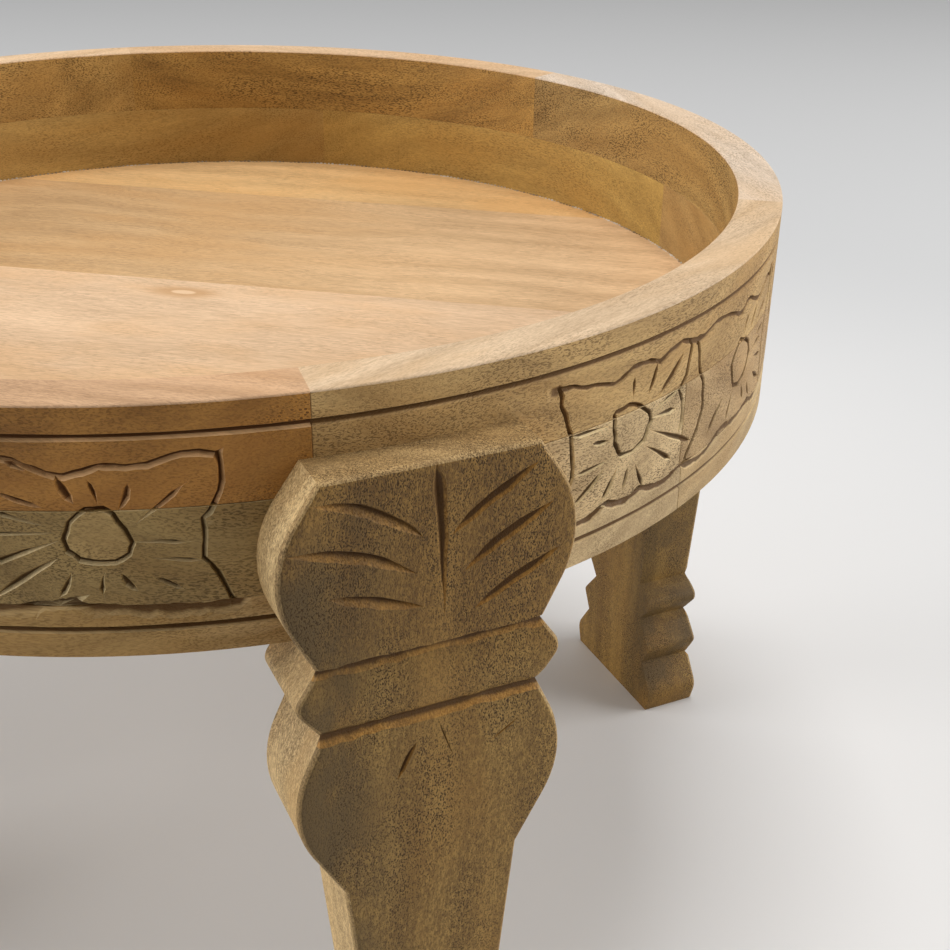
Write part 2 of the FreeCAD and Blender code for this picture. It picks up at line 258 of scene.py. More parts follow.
class Block:
    """A block of wood in a material, with its own directions and noises stretched along its grain."""

    def __init__(self, name, turn, roll, shift):
        self.finish = bpy.data.materials.new(name)
        self.start = new_tree(self.finish)
        self.turn = turn
        self.place = self.start.make("ShaderNodeTexCoord", output="Object")
        straight = self.mapped(self.place, Rotation=turn)
        wood = self.mapped(straight, Rotation=(roll, 0.0, 0.0), Location=shift)
        wander = {"Vector": wood, "Scale": WANDER_SCALE, "Detail": 2.0}
        wander = self.start.make("ShaderNodeTexNoise", {}, wander, output="Color")
        self.bent = self.vector("MULTIPLY_ADD", wander, WANDER, wood)
        self.along = self.start.make("ShaderNodeSeparateXYZ", {}, {"Vector": straight})

    def mapped(self, vector, **settings):
        """A vector turned, moved or stretched."""
        return self.start.make("ShaderNodeMapping", {}, {"Vector": vector, **settings})

    def vector(self, operation, *values, output="Vector"):
        """Vector arithmetic."""
        settings = {"operation": operation}
        return self.start.make("ShaderNodeVectorMath", settings, dict(enumerate(values)), output=output)

    def noise(self, scale, detail, rough=0.5):
        """A noise with its own scale along the grain and in both directions across it."""
        stretched = self.mapped(self.bent, Scale=scale)
        values = {"Vector": stretched, "Scale": 1.0, "Detail": detail, "Roughness": rough}
        return self.start.make("ShaderNodeTexNoise", {}, values)

    def attribute(self, name):
        """A number that the mesh holds."""
        return self.start.make("ShaderNodeAttribute", {"attribute_name": name}, output="Fac")


# %% [markdown]
# Every piece has two tones, and a number on each face of its mesh says how much of the second it shows:
# faces that were sanded once more stay paler. On the sawn sides of the front leg this paleness is partly
# sanded wood and partly painted light, for the side that the left lamp lights. Each tone runs from dark
# to pale layers. Some pieces change tone towards one end of the grain: the first floor board turns to
# pale sapwood, a lower segment and the third board turn paler, and the front leg turns darker. A leg is
# stained grey on one side, one segment has torn pits at its end, and one board has a knot. Each of these
# takes the colour so far and gives it back with the feature laid over it.

# %% Tones, stains, pits and knots
DARK_SHARES = (0.66, 0.62, 0.56)
PALE_SHARES = (1.30, 1.34, 1.40)
PATCH_SHARES = (1.02, 0.90, 0.72)
STAIN_SHARES = (0.36, 0.40, 0.56)
STAIN_EDGE = 45 * MM
FIBRE_SHARES, HOLE_SHARES = (1.7, 1.6, 1.2), (0.20, 0.16, 0.12)
HALO_SHARES, KNOT_SHARES = (0.72, 0.58, 0.40), (1.10, 1.12, 1.12)
# scales along and across the grain
PATCH_SCALE = (8.0, 40.0, 16.0)
CLOUD_SCALE = (14.0, 22.0, 22.0)
HOLE_SCALE = (420.0, 620.0, 620.0)
KNOT_SCALE = (75.0, 190.0, 40.0)


def shade(tone, shares):
    """A tone made darker, paler or warmer."""
    return colour(*[part * share for part, share in zip(tone, shares)])


def two_tones(block, tone, streak, rubbed_and_lit, oiled, sanded_and_lit, far_end):
    """Both tones with their layers, and the one of them that changes towards the far end of the grain."""
    patch = block.noise(PATCH_SCALE, 3.0, 0.6).step(0.40, 0.68) * 0.5
    layers = []
    for base in (oiled, sanded_and_lit):
        plain = tone.mix(shade(base, DARK_SHARES), shade(base, PALE_SHARES))
        layers.append(patch.mix(plain, shade(base, PATCH_SHARES)))
    if far_end:
        layer, far_tone, begins, ends = far_end
        far = tone.mix(shade(far_tone, DARK_SHARES), shade(far_tone, PALE_SHARES))
        layers[layer] = (block.along + (streak - 0.5) * 0.03).step(begins, ends).mix(layers[layer], far)
    return rubbed_and_lit.mix(*layers)


def stained(block, body, rubbed_and_lit, oiled, direction):
    """A grey cloud on the side of the middle that a direction points to."""
    side = block.vector("DOT_PRODUCT", block.place, direction, output="Value")
    cloud = block.noise(CLOUD_SCALE, 4.0, 0.6).step(0.38, 0.60) * side.step(0.0, STAIN_EDGE)
    return (cloud * 0.85 * (1 - rubbed_and_lit)).mix(body, shade(oiled, STAIN_SHARES))


def torn(block, body, region, oiled):
    """Pits where the saw tore the grain: pale torn fibres round dark holes."""
    holes = {"Vector": block.mapped(block.bent, Scale=HOLE_SCALE), "Scale": 1.0}
    holes = block.start.make("ShaderNodeTexVoronoi", {}, holes, output="Distance")
    body = (holes.step(0.46, 0.36) * region * 0.6).mix(body, shade(oiled, FIBRE_SHARES))
    return (holes.step(0.34, 0.24) * region * 0.9).mix(body, shade(oiled, HOLE_SHARES))


def knotted(block, body, knot, sanded_and_lit):
    """A small pale knot in a brown halo that is drawn out along the grain."""
    away = block.mapped(block.vector("SUBTRACT", block.place, knot), Rotation=block.turn)
    reach = block.vector("LENGTH", block.mapped(away, Scale=KNOT_SCALE), output="Value")
    body = (reach.step(2.2, 0.6) * 0.75).mix(body, shade(sanded_and_lit, HALO_SHARES))
    return (reach.step(0.60, 0.42) * 0.85).mix(body, shade(sanded_and_lit, KNOT_SHARES))


# %% [markdown]
# Dark wax stays in the cuts when the table is wiped, and its darkness is partly painted shade in the
# hollows. Walls that face up or left, towards the top and left lamps, come out pale: bare wood with a
# painted highlight. Two more numbers of the mesh steer this: `carve` grows with the depth of a cut, and a
# second number goes up to 1 on a clean wall that faces the light and is -1 on sawn faces, where it
# switches the colours of the cuts off.

# %% Wax in the cuts
# the wax colour, which also stands in as painted shade in the cuts
WAX_AND_SHADE_SHARES = (0.27, 0.195, 0.10)
BARE_AND_LIT_DARK_SHARES = (0.60, 0.58, 0.54)
BARE_AND_LIT_PALE_SHARES = (1.20, 1.20, 1.20)


def waxed_and_shaded(block, body, tone, oiled, wiped_and_lit_share=0.5, clean_and_lit_share=0.45, bare_and_lit=(0.85, 0.62, 0.32)):
    """Wax and painted shade in the cuts; bare wood and painted highlight on lit walls, down to a share of
    the depth.
    """
    wiped_and_lit = block.attribute("wiped_and_lit")
    facing = wiped_and_lit.step(-0.9, -0.1)
    carve = block.attribute("carve") * facing
    wiped_and_lit = wiped_and_lit * facing * wiped_and_lit_share
    bare_and_lit_wood = tone.mix(shade(bare_and_lit, BARE_AND_LIT_DARK_SHARES), shade(bare_and_lit, BARE_AND_LIT_PALE_SHARES))
    body = (carve.step(0.01, 0.06) * wiped_and_lit).mix(body, bare_and_lit_wood)
    clean_and_lit = wiped_and_lit * carve.step(clean_and_lit_share + 0.25, clean_and_lit_share)
    return (carve.step(0.25, 0.70) * 0.94 * (1 - clean_and_lit)).mix(body, shade(oiled, WAX_AND_SHADE_SHARES))


# %% The whole finish
PORE_SHARES = (0.20, 0.17, 0.13)
# scales along and across the grain
BROAD_SCALE = (2.5, 22.0, 9.0)
STREAK_SCALE = (7.0, 150.0, 45.0)
CROWD_SCALE = (20.0, 60.0, 60.0)
RING_SCALE = (0.12, 1.0, 0.4)
FIBRE_SCALE = 1000.0


def timber(name, turn, roll, shift, oiled, sanded_and_lit, pores=0.5, dash=500.0, fine=1900.0, figure=1.0,
           speckle=1.1, stain=None, knot=None, far_end=None, pitted=None, **walls):
    """A solid wood finish: its grain turned to X, its layers rolled round the grain, in two tones."""
    block = Block(name, turn, roll, shift)
    rubbed_and_lit = block.attribute("rubbed_and_lit")
    broad = block.noise(BROAD_SCALE, 2.0).step(0.30, 0.70)
    streak = block.noise(STREAK_SCALE, 5.0, 0.62).step(0.28, 0.72)
    fibre = block.noise((dash * 0.3, FIBRE_SCALE, FIBRE_SCALE), 3.0, 0.6)
    rings = {"Vector": block.mapped(block.bent, Scale=RING_SCALE), "Scale": 30.0, "Distortion": 3.0,
             "Detail": 3.0, "Detail Scale": 2.0}
    rings = block.start.make("ShaderNodeTexWave", {"wave_type": "RINGS", "rings_direction": "X"}, rings)
    drawn = (streak - 0.5) * 0.5 + (broad - 0.5) * 0.5 + (rings - 0.5) * 0.3
    tone = 0.5 + drawn * (figure - rubbed_and_lit * (figure * 0.4)) + (fibre - 0.5) * speckle
    body = two_tones(block, tone, streak, rubbed_and_lit, oiled, sanded_and_lit, far_end)
    if stain:
        body = stained(block, body, rubbed_and_lit, oiled, stain)
    crowd = block.noise(CROWD_SCALE, 2.0).step(0.35, 0.65)
    vessel = block.noise((dash, fine, fine), 1.0).step(0.50, 0.61)
    pit = vessel * (0.45 + crowd * 0.55) * (1 - rubbed_and_lit * 0.5)
    body = (pit * pores).mix(body, shade(oiled, PORE_SHARES))
    if pitted:
        body = torn(block, body, block.along.step(*pitted) * crowd * (1 - rubbed_and_lit), oiled)
    if knot:
        body = knotted(block, body, knot, sanded_and_lit)
    body = waxed_and_shaded(block, body, tone, oiled, **walls)
    rough = 0.62 + (fibre - 0.5) * 0.25 + pit * 0.15
    relief = fibre * 0.5 + streak * 0.25 - pit * pores
    bump = block.start.make("ShaderNodeBump", {}, {"Height": relief, "Strength": 0.5, "Distance": 0.5 * MM})
    skin = {"Base Color": body, "Roughness": rough, "Normal": bump, "Specular IOR Level": 0.3}
    skin = block.start.make("ShaderNodeBsdfPrincipled", {}, skin)
    block.start.make("ShaderNodeOutputMaterial", {}, {"Surface": skin})
    return block.finish


# %% [markdown]
# ## Gouge cuts
#
# A V gouge leaves two slanted walls that meet in a valley. Each stroke could be cut with a Boolean, but
# hundreds of them are slow and leave a torn mesh. A cut only stays crisp when its two edges and its
# valley are edges of the mesh, so every face is triangulated round the cuts instead: a constrained
# triangulation takes these lines as edges that it must keep, and the depth is then worked out at each
# point.


# %% A single cut
THINNEST = 1e-7


class Gouge:
    """A cut on a flat face: a valley line with a width on each side and a depth at every point."""

    def __init__(self, points, width, depth, shape, rng, lean=0.0, spread=0.12, dark=1.0):
        self.valley = np.array([(p[0], p[1]) for p in points], float)
        steps = np.diff(self.valley, axis=0)
        along = np.concatenate([[0.0], np.cumsum(np.hypot(steps[:, 0], steps[:, 1]))])
        swell = np.array([shape(share) for share in along / along[-1]])
        swell = swell * np.array([1 + rng.uniform(-spread, spread) for _ in along])
        self.left = width / 2 * swell * (1 + lean)
        self.right = width / 2 * swell * (1 - lean)
        self.depth = depth * np.minimum(swell, 1.0)
        self.dark = dark
        self.closed = bool(np.hypot(*(self.valley[0] - self.valley[-1])) < width)
        heading = np.gradient(self.valley, axis=0)
        heading /= np.hypot(heading[:, 0], heading[:, 1])[:, None]
        self.side = np.stack([-heading[:, 1], heading[:, 0]], axis=1)

    def shifted(self, across, upward):
        """The same cut at another place."""
        copy = object.__new__(Gouge)
        copy.__dict__.update(self.__dict__)
        copy.valley = self.valley + np.array([across, upward])
        return copy

    def lines(self):
        """Its two edges and its valley."""
        left = self.valley + self.side * self.left[:, None]
        right = self.valley - self.side * self.right[:, None]
        return [left, self.valley, right]

    def depth_at(self, points):
        """How deep it cuts at each of many points."""
        reach = max(self.left.max(), self.right.max())
        low, high = self.valley.min(axis=0) - reach, self.valley.max(axis=0) + reach
        near = np.nonzero(((points >= low) & (points <= high)).all(axis=1))[0]
        result = np.zeros(len(points))
        for place, (here, there) in enumerate(zip(self.valley, self.valley[1:])):
            run = there - here
            away = points[near] - here
            t = np.clip(away @ run / (run @ run), 0, 1)
            off = away - t[:, None] * run
            left, right, deep = [line[place] + t * (line[place + 1] - line[place])
                                 for line in (self.left, self.right, self.depth)]
            wide = np.where(run[0] * away[:, 1] - run[1] * away[:, 0] > 0, left, right)
            cut = deep * np.clip(1 - np.hypot(off[:, 0], off[:, 1]) / np.maximum(wide, THINNEST), 0, 1)
            result[near] = np.maximum(result[near], cut)
        return result


# %% Three forms of a cut
SPINDLE_POWER = 2.6
WEDGE_POWER = 2.2
NARROWEST_SHARE = 0.02


def spindle(t):
    """A cut that starts and ends in a point."""
    return max(1 - abs(2 * t - 1) ** SPINDLE_POWER, NARROWEST_SHARE)


def wedge(t):
    """A cut that is pressed in at its start and runs out at its end."""
    return max(min(1.0, 7 * t + 0.1) * (1 - t ** WEDGE_POWER), NARROWEST_SHARE)


def even(t):
    """A cut of one width."""
    return 1.0


# %% A line drawn by hand
def hand_line(points, spacing, wobble, rng, smooth):
    """Points along a line through the given points, with small wobbles between them."""
    result = []
    count = len(points)
    for place in range(count - 1):
        before, here = Vector(points[max(place - 1, 0)]), Vector(points[place])
        there, after = Vector(points[place + 1]), Vector(points[min(place + 2, count - 1)])
        pieces = max(2, round((there - here).length / spacing))
        for number in range(pieces):
            t = number / pieces
            spot = here.lerp(there, t)
            if smooth:
                bend = (2 * before - 5 * here + 4 * there - after) * t ** 2
                turn = (3 * here - before - 3 * there + after) * t ** 3
                spot = 0.5 * (2 * here + (there - before) * t + bend + turn)
            inner = place + number > 0
            spot += Vector((rng.uniform(-wobble, wobble), rng.uniform(-wobble, wobble))) * inner
            result.append(spot)
    result.append(Vector(points[-1]))
    return result


# %% Triangulate a face round its cuts
TINY = 1e-12
WELD = 1e-6
GRID_STRAY_SHARE = 0.2


def clipped(here, there, low, high):
    """The part of a straight line inside a rectangle, or None."""
    first, last = 0.0, 1.0
    run = there - here
    for axis in range(2):
        if abs(run[axis]) < TINY:
            if here[axis] < low[axis] or here[axis] > high[axis]:
                return None
            continue
        enter = (low[axis] - here[axis]) / run[axis]
        leave = (high[axis] - here[axis]) / run[axis]
        first = max(first, min(enter, leave))
        last = min(last, max(enter, leave))
    if first >= last:
        return None
    return here + run * first, here + run * last


def triangulated(outline, cuts, spacing, rng, inside=None, extra_lines=()):
    """Points and triangles of a flat face whose mesh keeps the lines of its cuts."""
    points = [Vector(p) for p in outline]
    edges = []
    low = np.array(outline).min(axis=0)
    high = np.array(outline).max(axis=0)
    for line in [line for cut in cuts for line in cut.lines()] + list(extra_lines):
        for here, there in zip(line, line[1:]):
            kept = clipped(np.array(here), np.array(there), low, high)
            if kept is not None and np.hypot(*(kept[1] - kept[0])) > WELD:
                edges.append((len(points), len(points) + 1))
                points += [Vector(kept[0]), Vector(kept[1])]
    columns, rows = [int(side / spacing) for side in high - low]
    for column in range(1, columns):
        for row in range(1, rows):
            spot = low + (high - low) * np.array([column / columns, row / rows])
            spot += spacing * GRID_STRAY_SHARE * np.array([rng.uniform(-1, 1), rng.uniform(-1, 1)])
            if inside is None or inside(spot):
                points.append(Vector(spot))
    result = delaunay_2d_cdt(points, edges, [list(range(len(outline)))], 1, WELD, False)
    return np.array([(p.x, p.y) for p in result[0]]), result[2]


# %% Inside and depth of a face
def within(outline, spot):
    """Whether a point is inside an outline."""
    x, y = spot
    here, there = outline, np.roll(outline, -1, axis=0)
    crosses = (here[:, 1] > y) != (there[:, 1] > y)
    rise = np.where(there[:, 1] == here[:, 1], TINY, there[:, 1] - here[:, 1])
    reach = here[:, 0] + (there[:, 0] - here[:, 0]) * (y - here[:, 1]) / rise
    return bool(np.sum(crosses & (x < reach)) % 2)


def carved(flat, cuts):
    """The depth at each point of a face, and how far down a wall it lies, times the darkness of its cut."""
    depth = np.zeros(len(flat))
    dark = np.zeros(len(flat))
    for cut in cuts:
        here = cut.depth_at(flat)
        depth = np.maximum(depth, here)
        dark = np.maximum(dark, here / cut.depth.max() * cut.dark)
    return depth, dark


# %% [markdown]
# ## Flower panels
#
# Each panel is one daisy: a hub that straddles the seam between the two courses, petals cut as single
# strokes from the hub to the border, a wavy border above, zigzag borders at the sides, and a wide
# scalloped cut along the floor seam below. One flower could be copied round the ring, but the carver drew
# them all by eye. So three designs take turns, one of them mirrored, and every point strays a little. The
# points are shares of half the panel's width and height, from its middle.

# %% Three flower designs
ROUND_FLOWER = {
    "hub_shares": [(-0.29, -0.07), (-0.21, 0.17), (-0.09, 0.31), (0.05, 0.34), (0.14, 0.24), (0.22, 0.03),
                   (0.28, -0.12), (0.22, -0.31), (0.1, -0.4), (-0.16, -0.34), (-0.26, -0.24)],
    "top_shares": [(-1.06, 1.0), (-0.85, 1.02), (-0.66, 0.98), (-0.52, 0.91), (-0.33, 0.83), (-0.19, 0.78),
                   (-0.07, 0.83), (0.05, 0.88), (0.22, 0.91), (0.36, 0.86), (0.53, 0.93), (0.72, 1.02),
                   (0.99, 0.97)],
    "left_shares": [(-1.06, 1.0), (-1.04, 0.6), (-0.94, 0.25), (-0.92, -0.2), (-0.98, -0.6), (-1.06, -1.0)],
    "right_shares": [(0.99, 0.97), (1.01, 0.62), (0.93, 0.34), (0.85, 0.14), (0.86, -0.14), (0.84, -0.38),
                     (0.93, -0.62), (1.03, -1.0)],
    "bottom_shares": [(-1.1, -1.03), (-0.8, -1.0), (-0.55, -0.95), (-0.35, -0.92), (-0.29, -0.9),
                      (-0.14, -0.98), (0.05, -1.0), (0.4, -1.03), (0.8, -1.05), (1.1, -1.03)],
    # outer end, inner end and width of each petal
    "petal_shares": [(-0.64, 0.93, -0.48, 0.81, 0.6), (-0.29, 0.76, -0.15, 0.41, 0.95),
                     (-0.02, 0.71, 0.03, 0.38, 0.55), (0.29, 0.67, 0.2, 0.31, 0.75),
                     (0.72, 0.59, 0.29, 0.1, 0.6), (0.7, -0.14, 0.29, -0.12, 0.4),
                     (0.81, -0.4, 0.41, -0.33, 0.4), (0.65, -0.81, 0.41, -0.6, 0.5),
                     (0.27, -0.81, 0.15, -0.55, 0.7), (-0.02, -0.83, 0.03, -0.52, 0.5),
                     (-0.36, -0.86, -0.23, -0.52, 0.7), (-0.95, -0.91, -0.33, -0.31, 0.75),
                     (-0.9, -0.41, -0.32, -0.1, 0.7), (-0.9, 0.0, -0.33, 0.02, 0.4),
                     (-0.85, 0.31, -0.4, 0.12, 0.45), (-0.8, 0.59, -0.42, 0.34, 0.5)],
}
SLANTED_FLOWER = {
    "hub_shares": [(-0.25, 0.38), (-0.25, 0.14), (-0.23, -0.07), (-0.18, -0.22), (-0.11, -0.31),
                   (0.06, -0.33), (0.18, -0.21), (0.25, -0.07), (0.3, 0.05), (0.27, 0.17), (0.1, 0.33),
                   (-0.04, 0.4)],
    "top_shares": [(-0.97, 1.0), (-0.85, 1.03), (-0.7, 0.98), (-0.51, 0.91), (-0.28, 0.86), (-0.18, 0.91),
                   (-0.04, 0.98), (0.13, 0.98), (0.3, 0.93), (0.39, 0.91), (0.53, 0.97), (0.72, 1.02),
                   (0.91, 0.95), (1.06, 0.93)],
    "left_shares": [(-0.97, 1.0), (-0.93, 0.76), (-0.87, 0.48), (-0.8, 0.31), (-0.79, 0.07), (-0.76, -0.34),
                    (-0.82, -0.52), (-0.95, -1.03)],
    "right_shares": [(0.91, 0.9), (0.83, 0.48), (0.75, 0.28), (0.8, 0.07), (0.82, -0.21), (0.81, -0.31)],
    "bottom_shares": [(-1.0, -1.06), (-0.7, -1.08), (-0.51, -1.05), (-0.32, -0.95), (-0.18, -1.0),
                      (0.01, -1.05), (0.15, -0.98), (0.22, -0.97), (0.39, -1.04), (0.63, -1.08),
                      (0.87, -1.0), (1.05, -1.0)],
    "petal_shares": [(0.0, 0.79, -0.01, 0.52, 0.5), (0.32, 0.88, 0.22, 0.45, 0.55),
                     (0.77, 0.83, 0.39, 0.34, 0.8), (0.72, 0.28, 0.32, 0.17, 0.45),
                     (0.72, 0.02, 0.3, 0.07, 0.8), (1.06, -0.69, 0.25, -0.09, 0.8),
                     (0.68, -0.78, 0.22, -0.34, 0.75), (0.24, -0.95, 0.09, -0.52, 0.55),
                     (-0.07, -0.86, -0.03, -0.5, 0.55), (-0.35, -0.9, -0.18, -0.45, 0.8),
                     (-0.75, -0.79, -0.35, -0.41, 0.75), (-0.73, -0.33, -0.3, -0.26, 0.55),
                     (-0.54, 0.05, -0.3, 0.03, 0.55), (-0.78, 0.28, -0.32, 0.22, 0.75)],
}
WIDE_FLOWER = {
    "hub_shares": [(-0.37, 0.07), (-0.34, -0.14), (-0.25, -0.34), (-0.08, -0.38), (0.09, -0.33),
                   (0.18, -0.17), (0.23, 0.0), (0.16, 0.17), (0.04, 0.28), (-0.15, 0.38), (-0.27, 0.28)],
    "top_shares": [(-1.3, 0.93), (-1.15, 0.9), (-0.96, 1.0), (-0.8, 1.0), (-0.44, 0.93), (-0.2, 0.84),
                   (-0.06, 0.93), (0.11, 0.93), (0.28, 0.83), (0.42, 0.79), (0.56, 0.88), (0.75, 0.93),
                   (1.0, 0.93)],
    "left_shares": [(-1.27, 0.83), (-1.18, 0.41), (-1.08, 0.21), (-1.07, -0.03), (-1.06, -0.28),
                    (-1.15, -0.55), (-1.32, -0.9)],
    "right_shares": [(1.0, 0.93), (0.97, 0.5), (0.88, 0.2), (0.88, -0.3), (0.95, -0.6), (1.0, -1.0)],
    "bottom_shares": [(-1.3, -1.05), (-1.03, -1.09), (-0.8, -1.05), (-0.56, -0.92), (-0.44, -0.9),
                      (-0.27, -0.95), (-0.08, -0.98), (0.16, -0.97), (0.37, -0.93), (0.51, -1.0),
                      (0.75, -1.07), (1.0, -1.03)],
    "petal_shares": [(0.04, 0.69, -0.05, 0.41, 0.6), (0.35, 0.69, 0.18, 0.38, 0.65),
                     (0.75, 0.6, 0.37, 0.34, 0.6), (0.84, 0.14, 0.47, 0.12, 0.5),
                     (0.7, -0.03, 0.28, -0.03, 0.55), (0.84, -0.38, 0.44, -0.24, 0.6),
                     (0.92, -0.83, 0.51, -0.55, 0.7), (0.42, -0.86, 0.28, -0.55, 0.55),
                     (0.16, -0.76, 0.04, -0.45, 0.6), (-0.39, -0.83, -0.25, -0.41, 0.6),
                     (-0.87, -0.76, -0.53, -0.38, 0.75)],
}
FLOWER_ORDER = [SLANTED_FLOWER, WIDE_FLOWER, ROUND_FLOWER, ROUND_FLOWER]
MIRRORED_PLACE = 2
print("designs", len({id(design) for design in FLOWER_ORDER}))

# %% The cuts that a design gives
PANEL_WIDE = 42 * MM
PANEL_HIGH = 29 * MM
PETAL_WIDTH = 4.4 * MM
BORDER_WIDTH = 2.7 * MM
GOUGE_DEPTH = 2.3 * MM
HUB_SHARE = 0.9
SIDE_SHARE = 0.85
STRAY = 0.35 * MM
LINE_STEP = 4.5 * MM
LEAN = 0.35
WAVY, RAGGED = 0.2, 0.25
# width and lean of the scalloped cut under a flower
CHIPPED_CUT = (5.4 * MM, -0.6)
CRISP_CUT = (3.6 * MM, -0.2)
# how far up the walls the dark wax and painted shade reach
ROUND_DARK = 1.2
FULL_DARK = 2.0
FLOWER_SEED = 100
FLOWER_DEGREES = [19.3, 37.7, 55.0, 72.0, 108, 125.5, 144, 161,
                  199, 216.5, 234, 252, 288, 304.5, 321.2, 338.9]


def flower_cuts(design, mirror, dark, seed):
    """All the cuts of one panel, in its own flat directions."""
    rng = random.Random(seed)

    def drawn(shares, smooth, wobble=STRAY):
        spots = [Vector((mirror * x * PANEL_WIDE, z * PANEL_HIGH)) for x, z in shares]
        spots = [spot + Vector((rng.uniform(-1, 1), rng.uniform(-1, 1))) * 2 * STRAY for spot in spots]
        return hand_line(spots, LINE_STEP, wobble, rng, smooth)

    def cut(line, width, depth, shape=even, **settings):
        cuts.append(Gouge(line, width, depth, shape, rng, dark=dark, **settings))

    cuts = []
    hub = design["hub_shares"]
    cut(drawn(hub + hub[:1], False), BORDER_WIDTH * HUB_SHARE, GOUGE_DEPTH * HUB_SHARE)
    cut(drawn(design["top_shares"], True), BORDER_WIDTH, GOUGE_DEPTH, lean=-LEAN * mirror, spread=WAVY)
    for border in ("left_shares", "right_shares"):
        cut(drawn(design[border], False), BORDER_WIDTH * SIDE_SHARE, GOUGE_DEPTH, lean=LEAN)
    for x, z, inner_x, inner_z, width in design["petal_shares"]:
        line = drawn([(x, z), ((x + inner_x) / 2, (z + inner_z) / 2), (inner_x, inner_z)], True, STRAY / 3)
        shape = rng.choice([spindle, wedge, wedge])
        cut(line, PETAL_WIDTH * width, GOUGE_DEPTH * min(0.5 + width / 2, 1.0), shape)
    bottom = sorted((mirror * x, z) for x, z in design["bottom_shares"])
    line = [Vector((x * PANEL_WIDE, z * PANEL_HIGH)) for x, z in bottom]
    width, lean = CHIPPED_CUT if design is ROUND_FLOWER else CRISP_CUT
    cut(hand_line(line, LINE_STEP / 2, STRAY, rng, True), width, GOUGE_DEPTH, lean=lean, spread=RAGGED)
    return cuts


# %% Draw all the flowers
flowers = []
for number, degrees in enumerate(FLOWER_DEGREES):
    place = number % len(FLOWER_ORDER)
    design = FLOWER_ORDER[place]
    mirror = -1 if place == MIRRORED_PLACE else 1
    dark = ROUND_DARK if design is ROUND_FLOWER else FULL_DARK
    flowers.append((math.radians(degrees), flower_cuts(design, mirror, dark, FLOWER_SEED + number)))
print("flowers", len(flowers), "cuts", sum(len(cuts) for _, cuts in flowers))

# %% [markdown]
# ## Carved strips round the tray
#
# The outside of a ring segment and the edge of a floor board are strips of one cylinder. A strip is
# carved flat, where its lines are easy to lay out, and then rolled round the tray: the length along the
# strip becomes the turn, and the depth comes off the radius. The turned lines run right round, and a
# hair-fine line is left where two pieces are glued.

# %% The cuts that cross a strip
PANEL_DROP = 48 * MM
GRID_STEP = 5.0 * MM
TURNED = {"width": 2.9 * MM, "depth": 2.2 * MM, "lean": -LEAN / 2, "dark": 1.5}
GLUED = {"width": 0.7 * MM, "depth": 0.3 * MM, "lean": 0.0, "dark": 0.6}
RIM_LINE = RIM_TOP - 11.5 * MM
FLOOR_LINE = FLOOR_TOP - 9.5 * MM
LEVEL_LINES = [(RIM_LINE, TURNED), (FLOOR_LINE, TURNED), (COURSE_SEAM, GLUED), (FLOOR_TOP, GLUED)]
LEVEL_STEP = 9 * MM
LEVEL_STRAY = 0.05 * MM
LEVEL_SPREAD = 0.08
OVERRUN = 1.02


def near_turn(turn):
    """A turn brought into the half circle either side of zero."""
    return (turn + math.pi) % (2 * math.pi) - math.pi


def strip_cuts(middle, reach, low, high, rng):
    """The cuts that cross a strip: flowers near it, turned lines and glue lines."""
    cuts = []
    for turn, panel in flowers:
        across = RING_OUT * near_turn(turn - middle)
        if abs(across) < reach + 2 * PANEL_WIDE:
            cuts += [cut.shifted(across, RIM_TOP - PANEL_DROP) for cut in panel]
    for height, kind in LEVEL_LINES:
        if low - kind["width"] < height < high + kind["width"]:
            ends = [(-reach * OVERRUN, height), (reach * OVERRUN, height)]
            line = hand_line(ends, LEVEL_STEP, LEVEL_STRAY, rng, False)
            cuts.append(Gouge(line, shape=even, rng=rng, spread=LEVEL_SPREAD, **kind))
    for side in (-1, 1):
        line = [(side * reach, z) for z in (low - GRID_STEP, (low + high) / 2, high + GRID_STEP)]
        cuts.append(Gouge(line, shape=even, rng=rng, spread=0, **GLUED))
    return cuts


# %% A strip of the outside, carved and rolled up
SLACK = 1e-5


def new_mesh():
    """An empty mesh with the numbers that the wood reads."""
    mesh = bmesh.new()
    mesh.verts.layers.float.new("carve")
    mesh.faces.layers.float.new("rubbed_and_lit")
    mesh.faces.layers.float.new("wiped_and_lit")
    return mesh


def strip_outline(reach, low, high):
    """Corners of the flat strip, with points along its edges."""
    columns = max(2, round(2 * reach / GRID_STEP))
    rows = max(2, round((high - low) / GRID_STEP))
    along = [-reach + 2 * reach * n / columns for n in range(columns)]
    upward = [low + (high - low) * n / rows for n in range(rows)]
    outline = [(s, low) for s in along] + [(reach, z) for z in upward]
    outline += [(-s, high) for s in along] + [(-reach, low + high - z) for z in upward]
    return outline


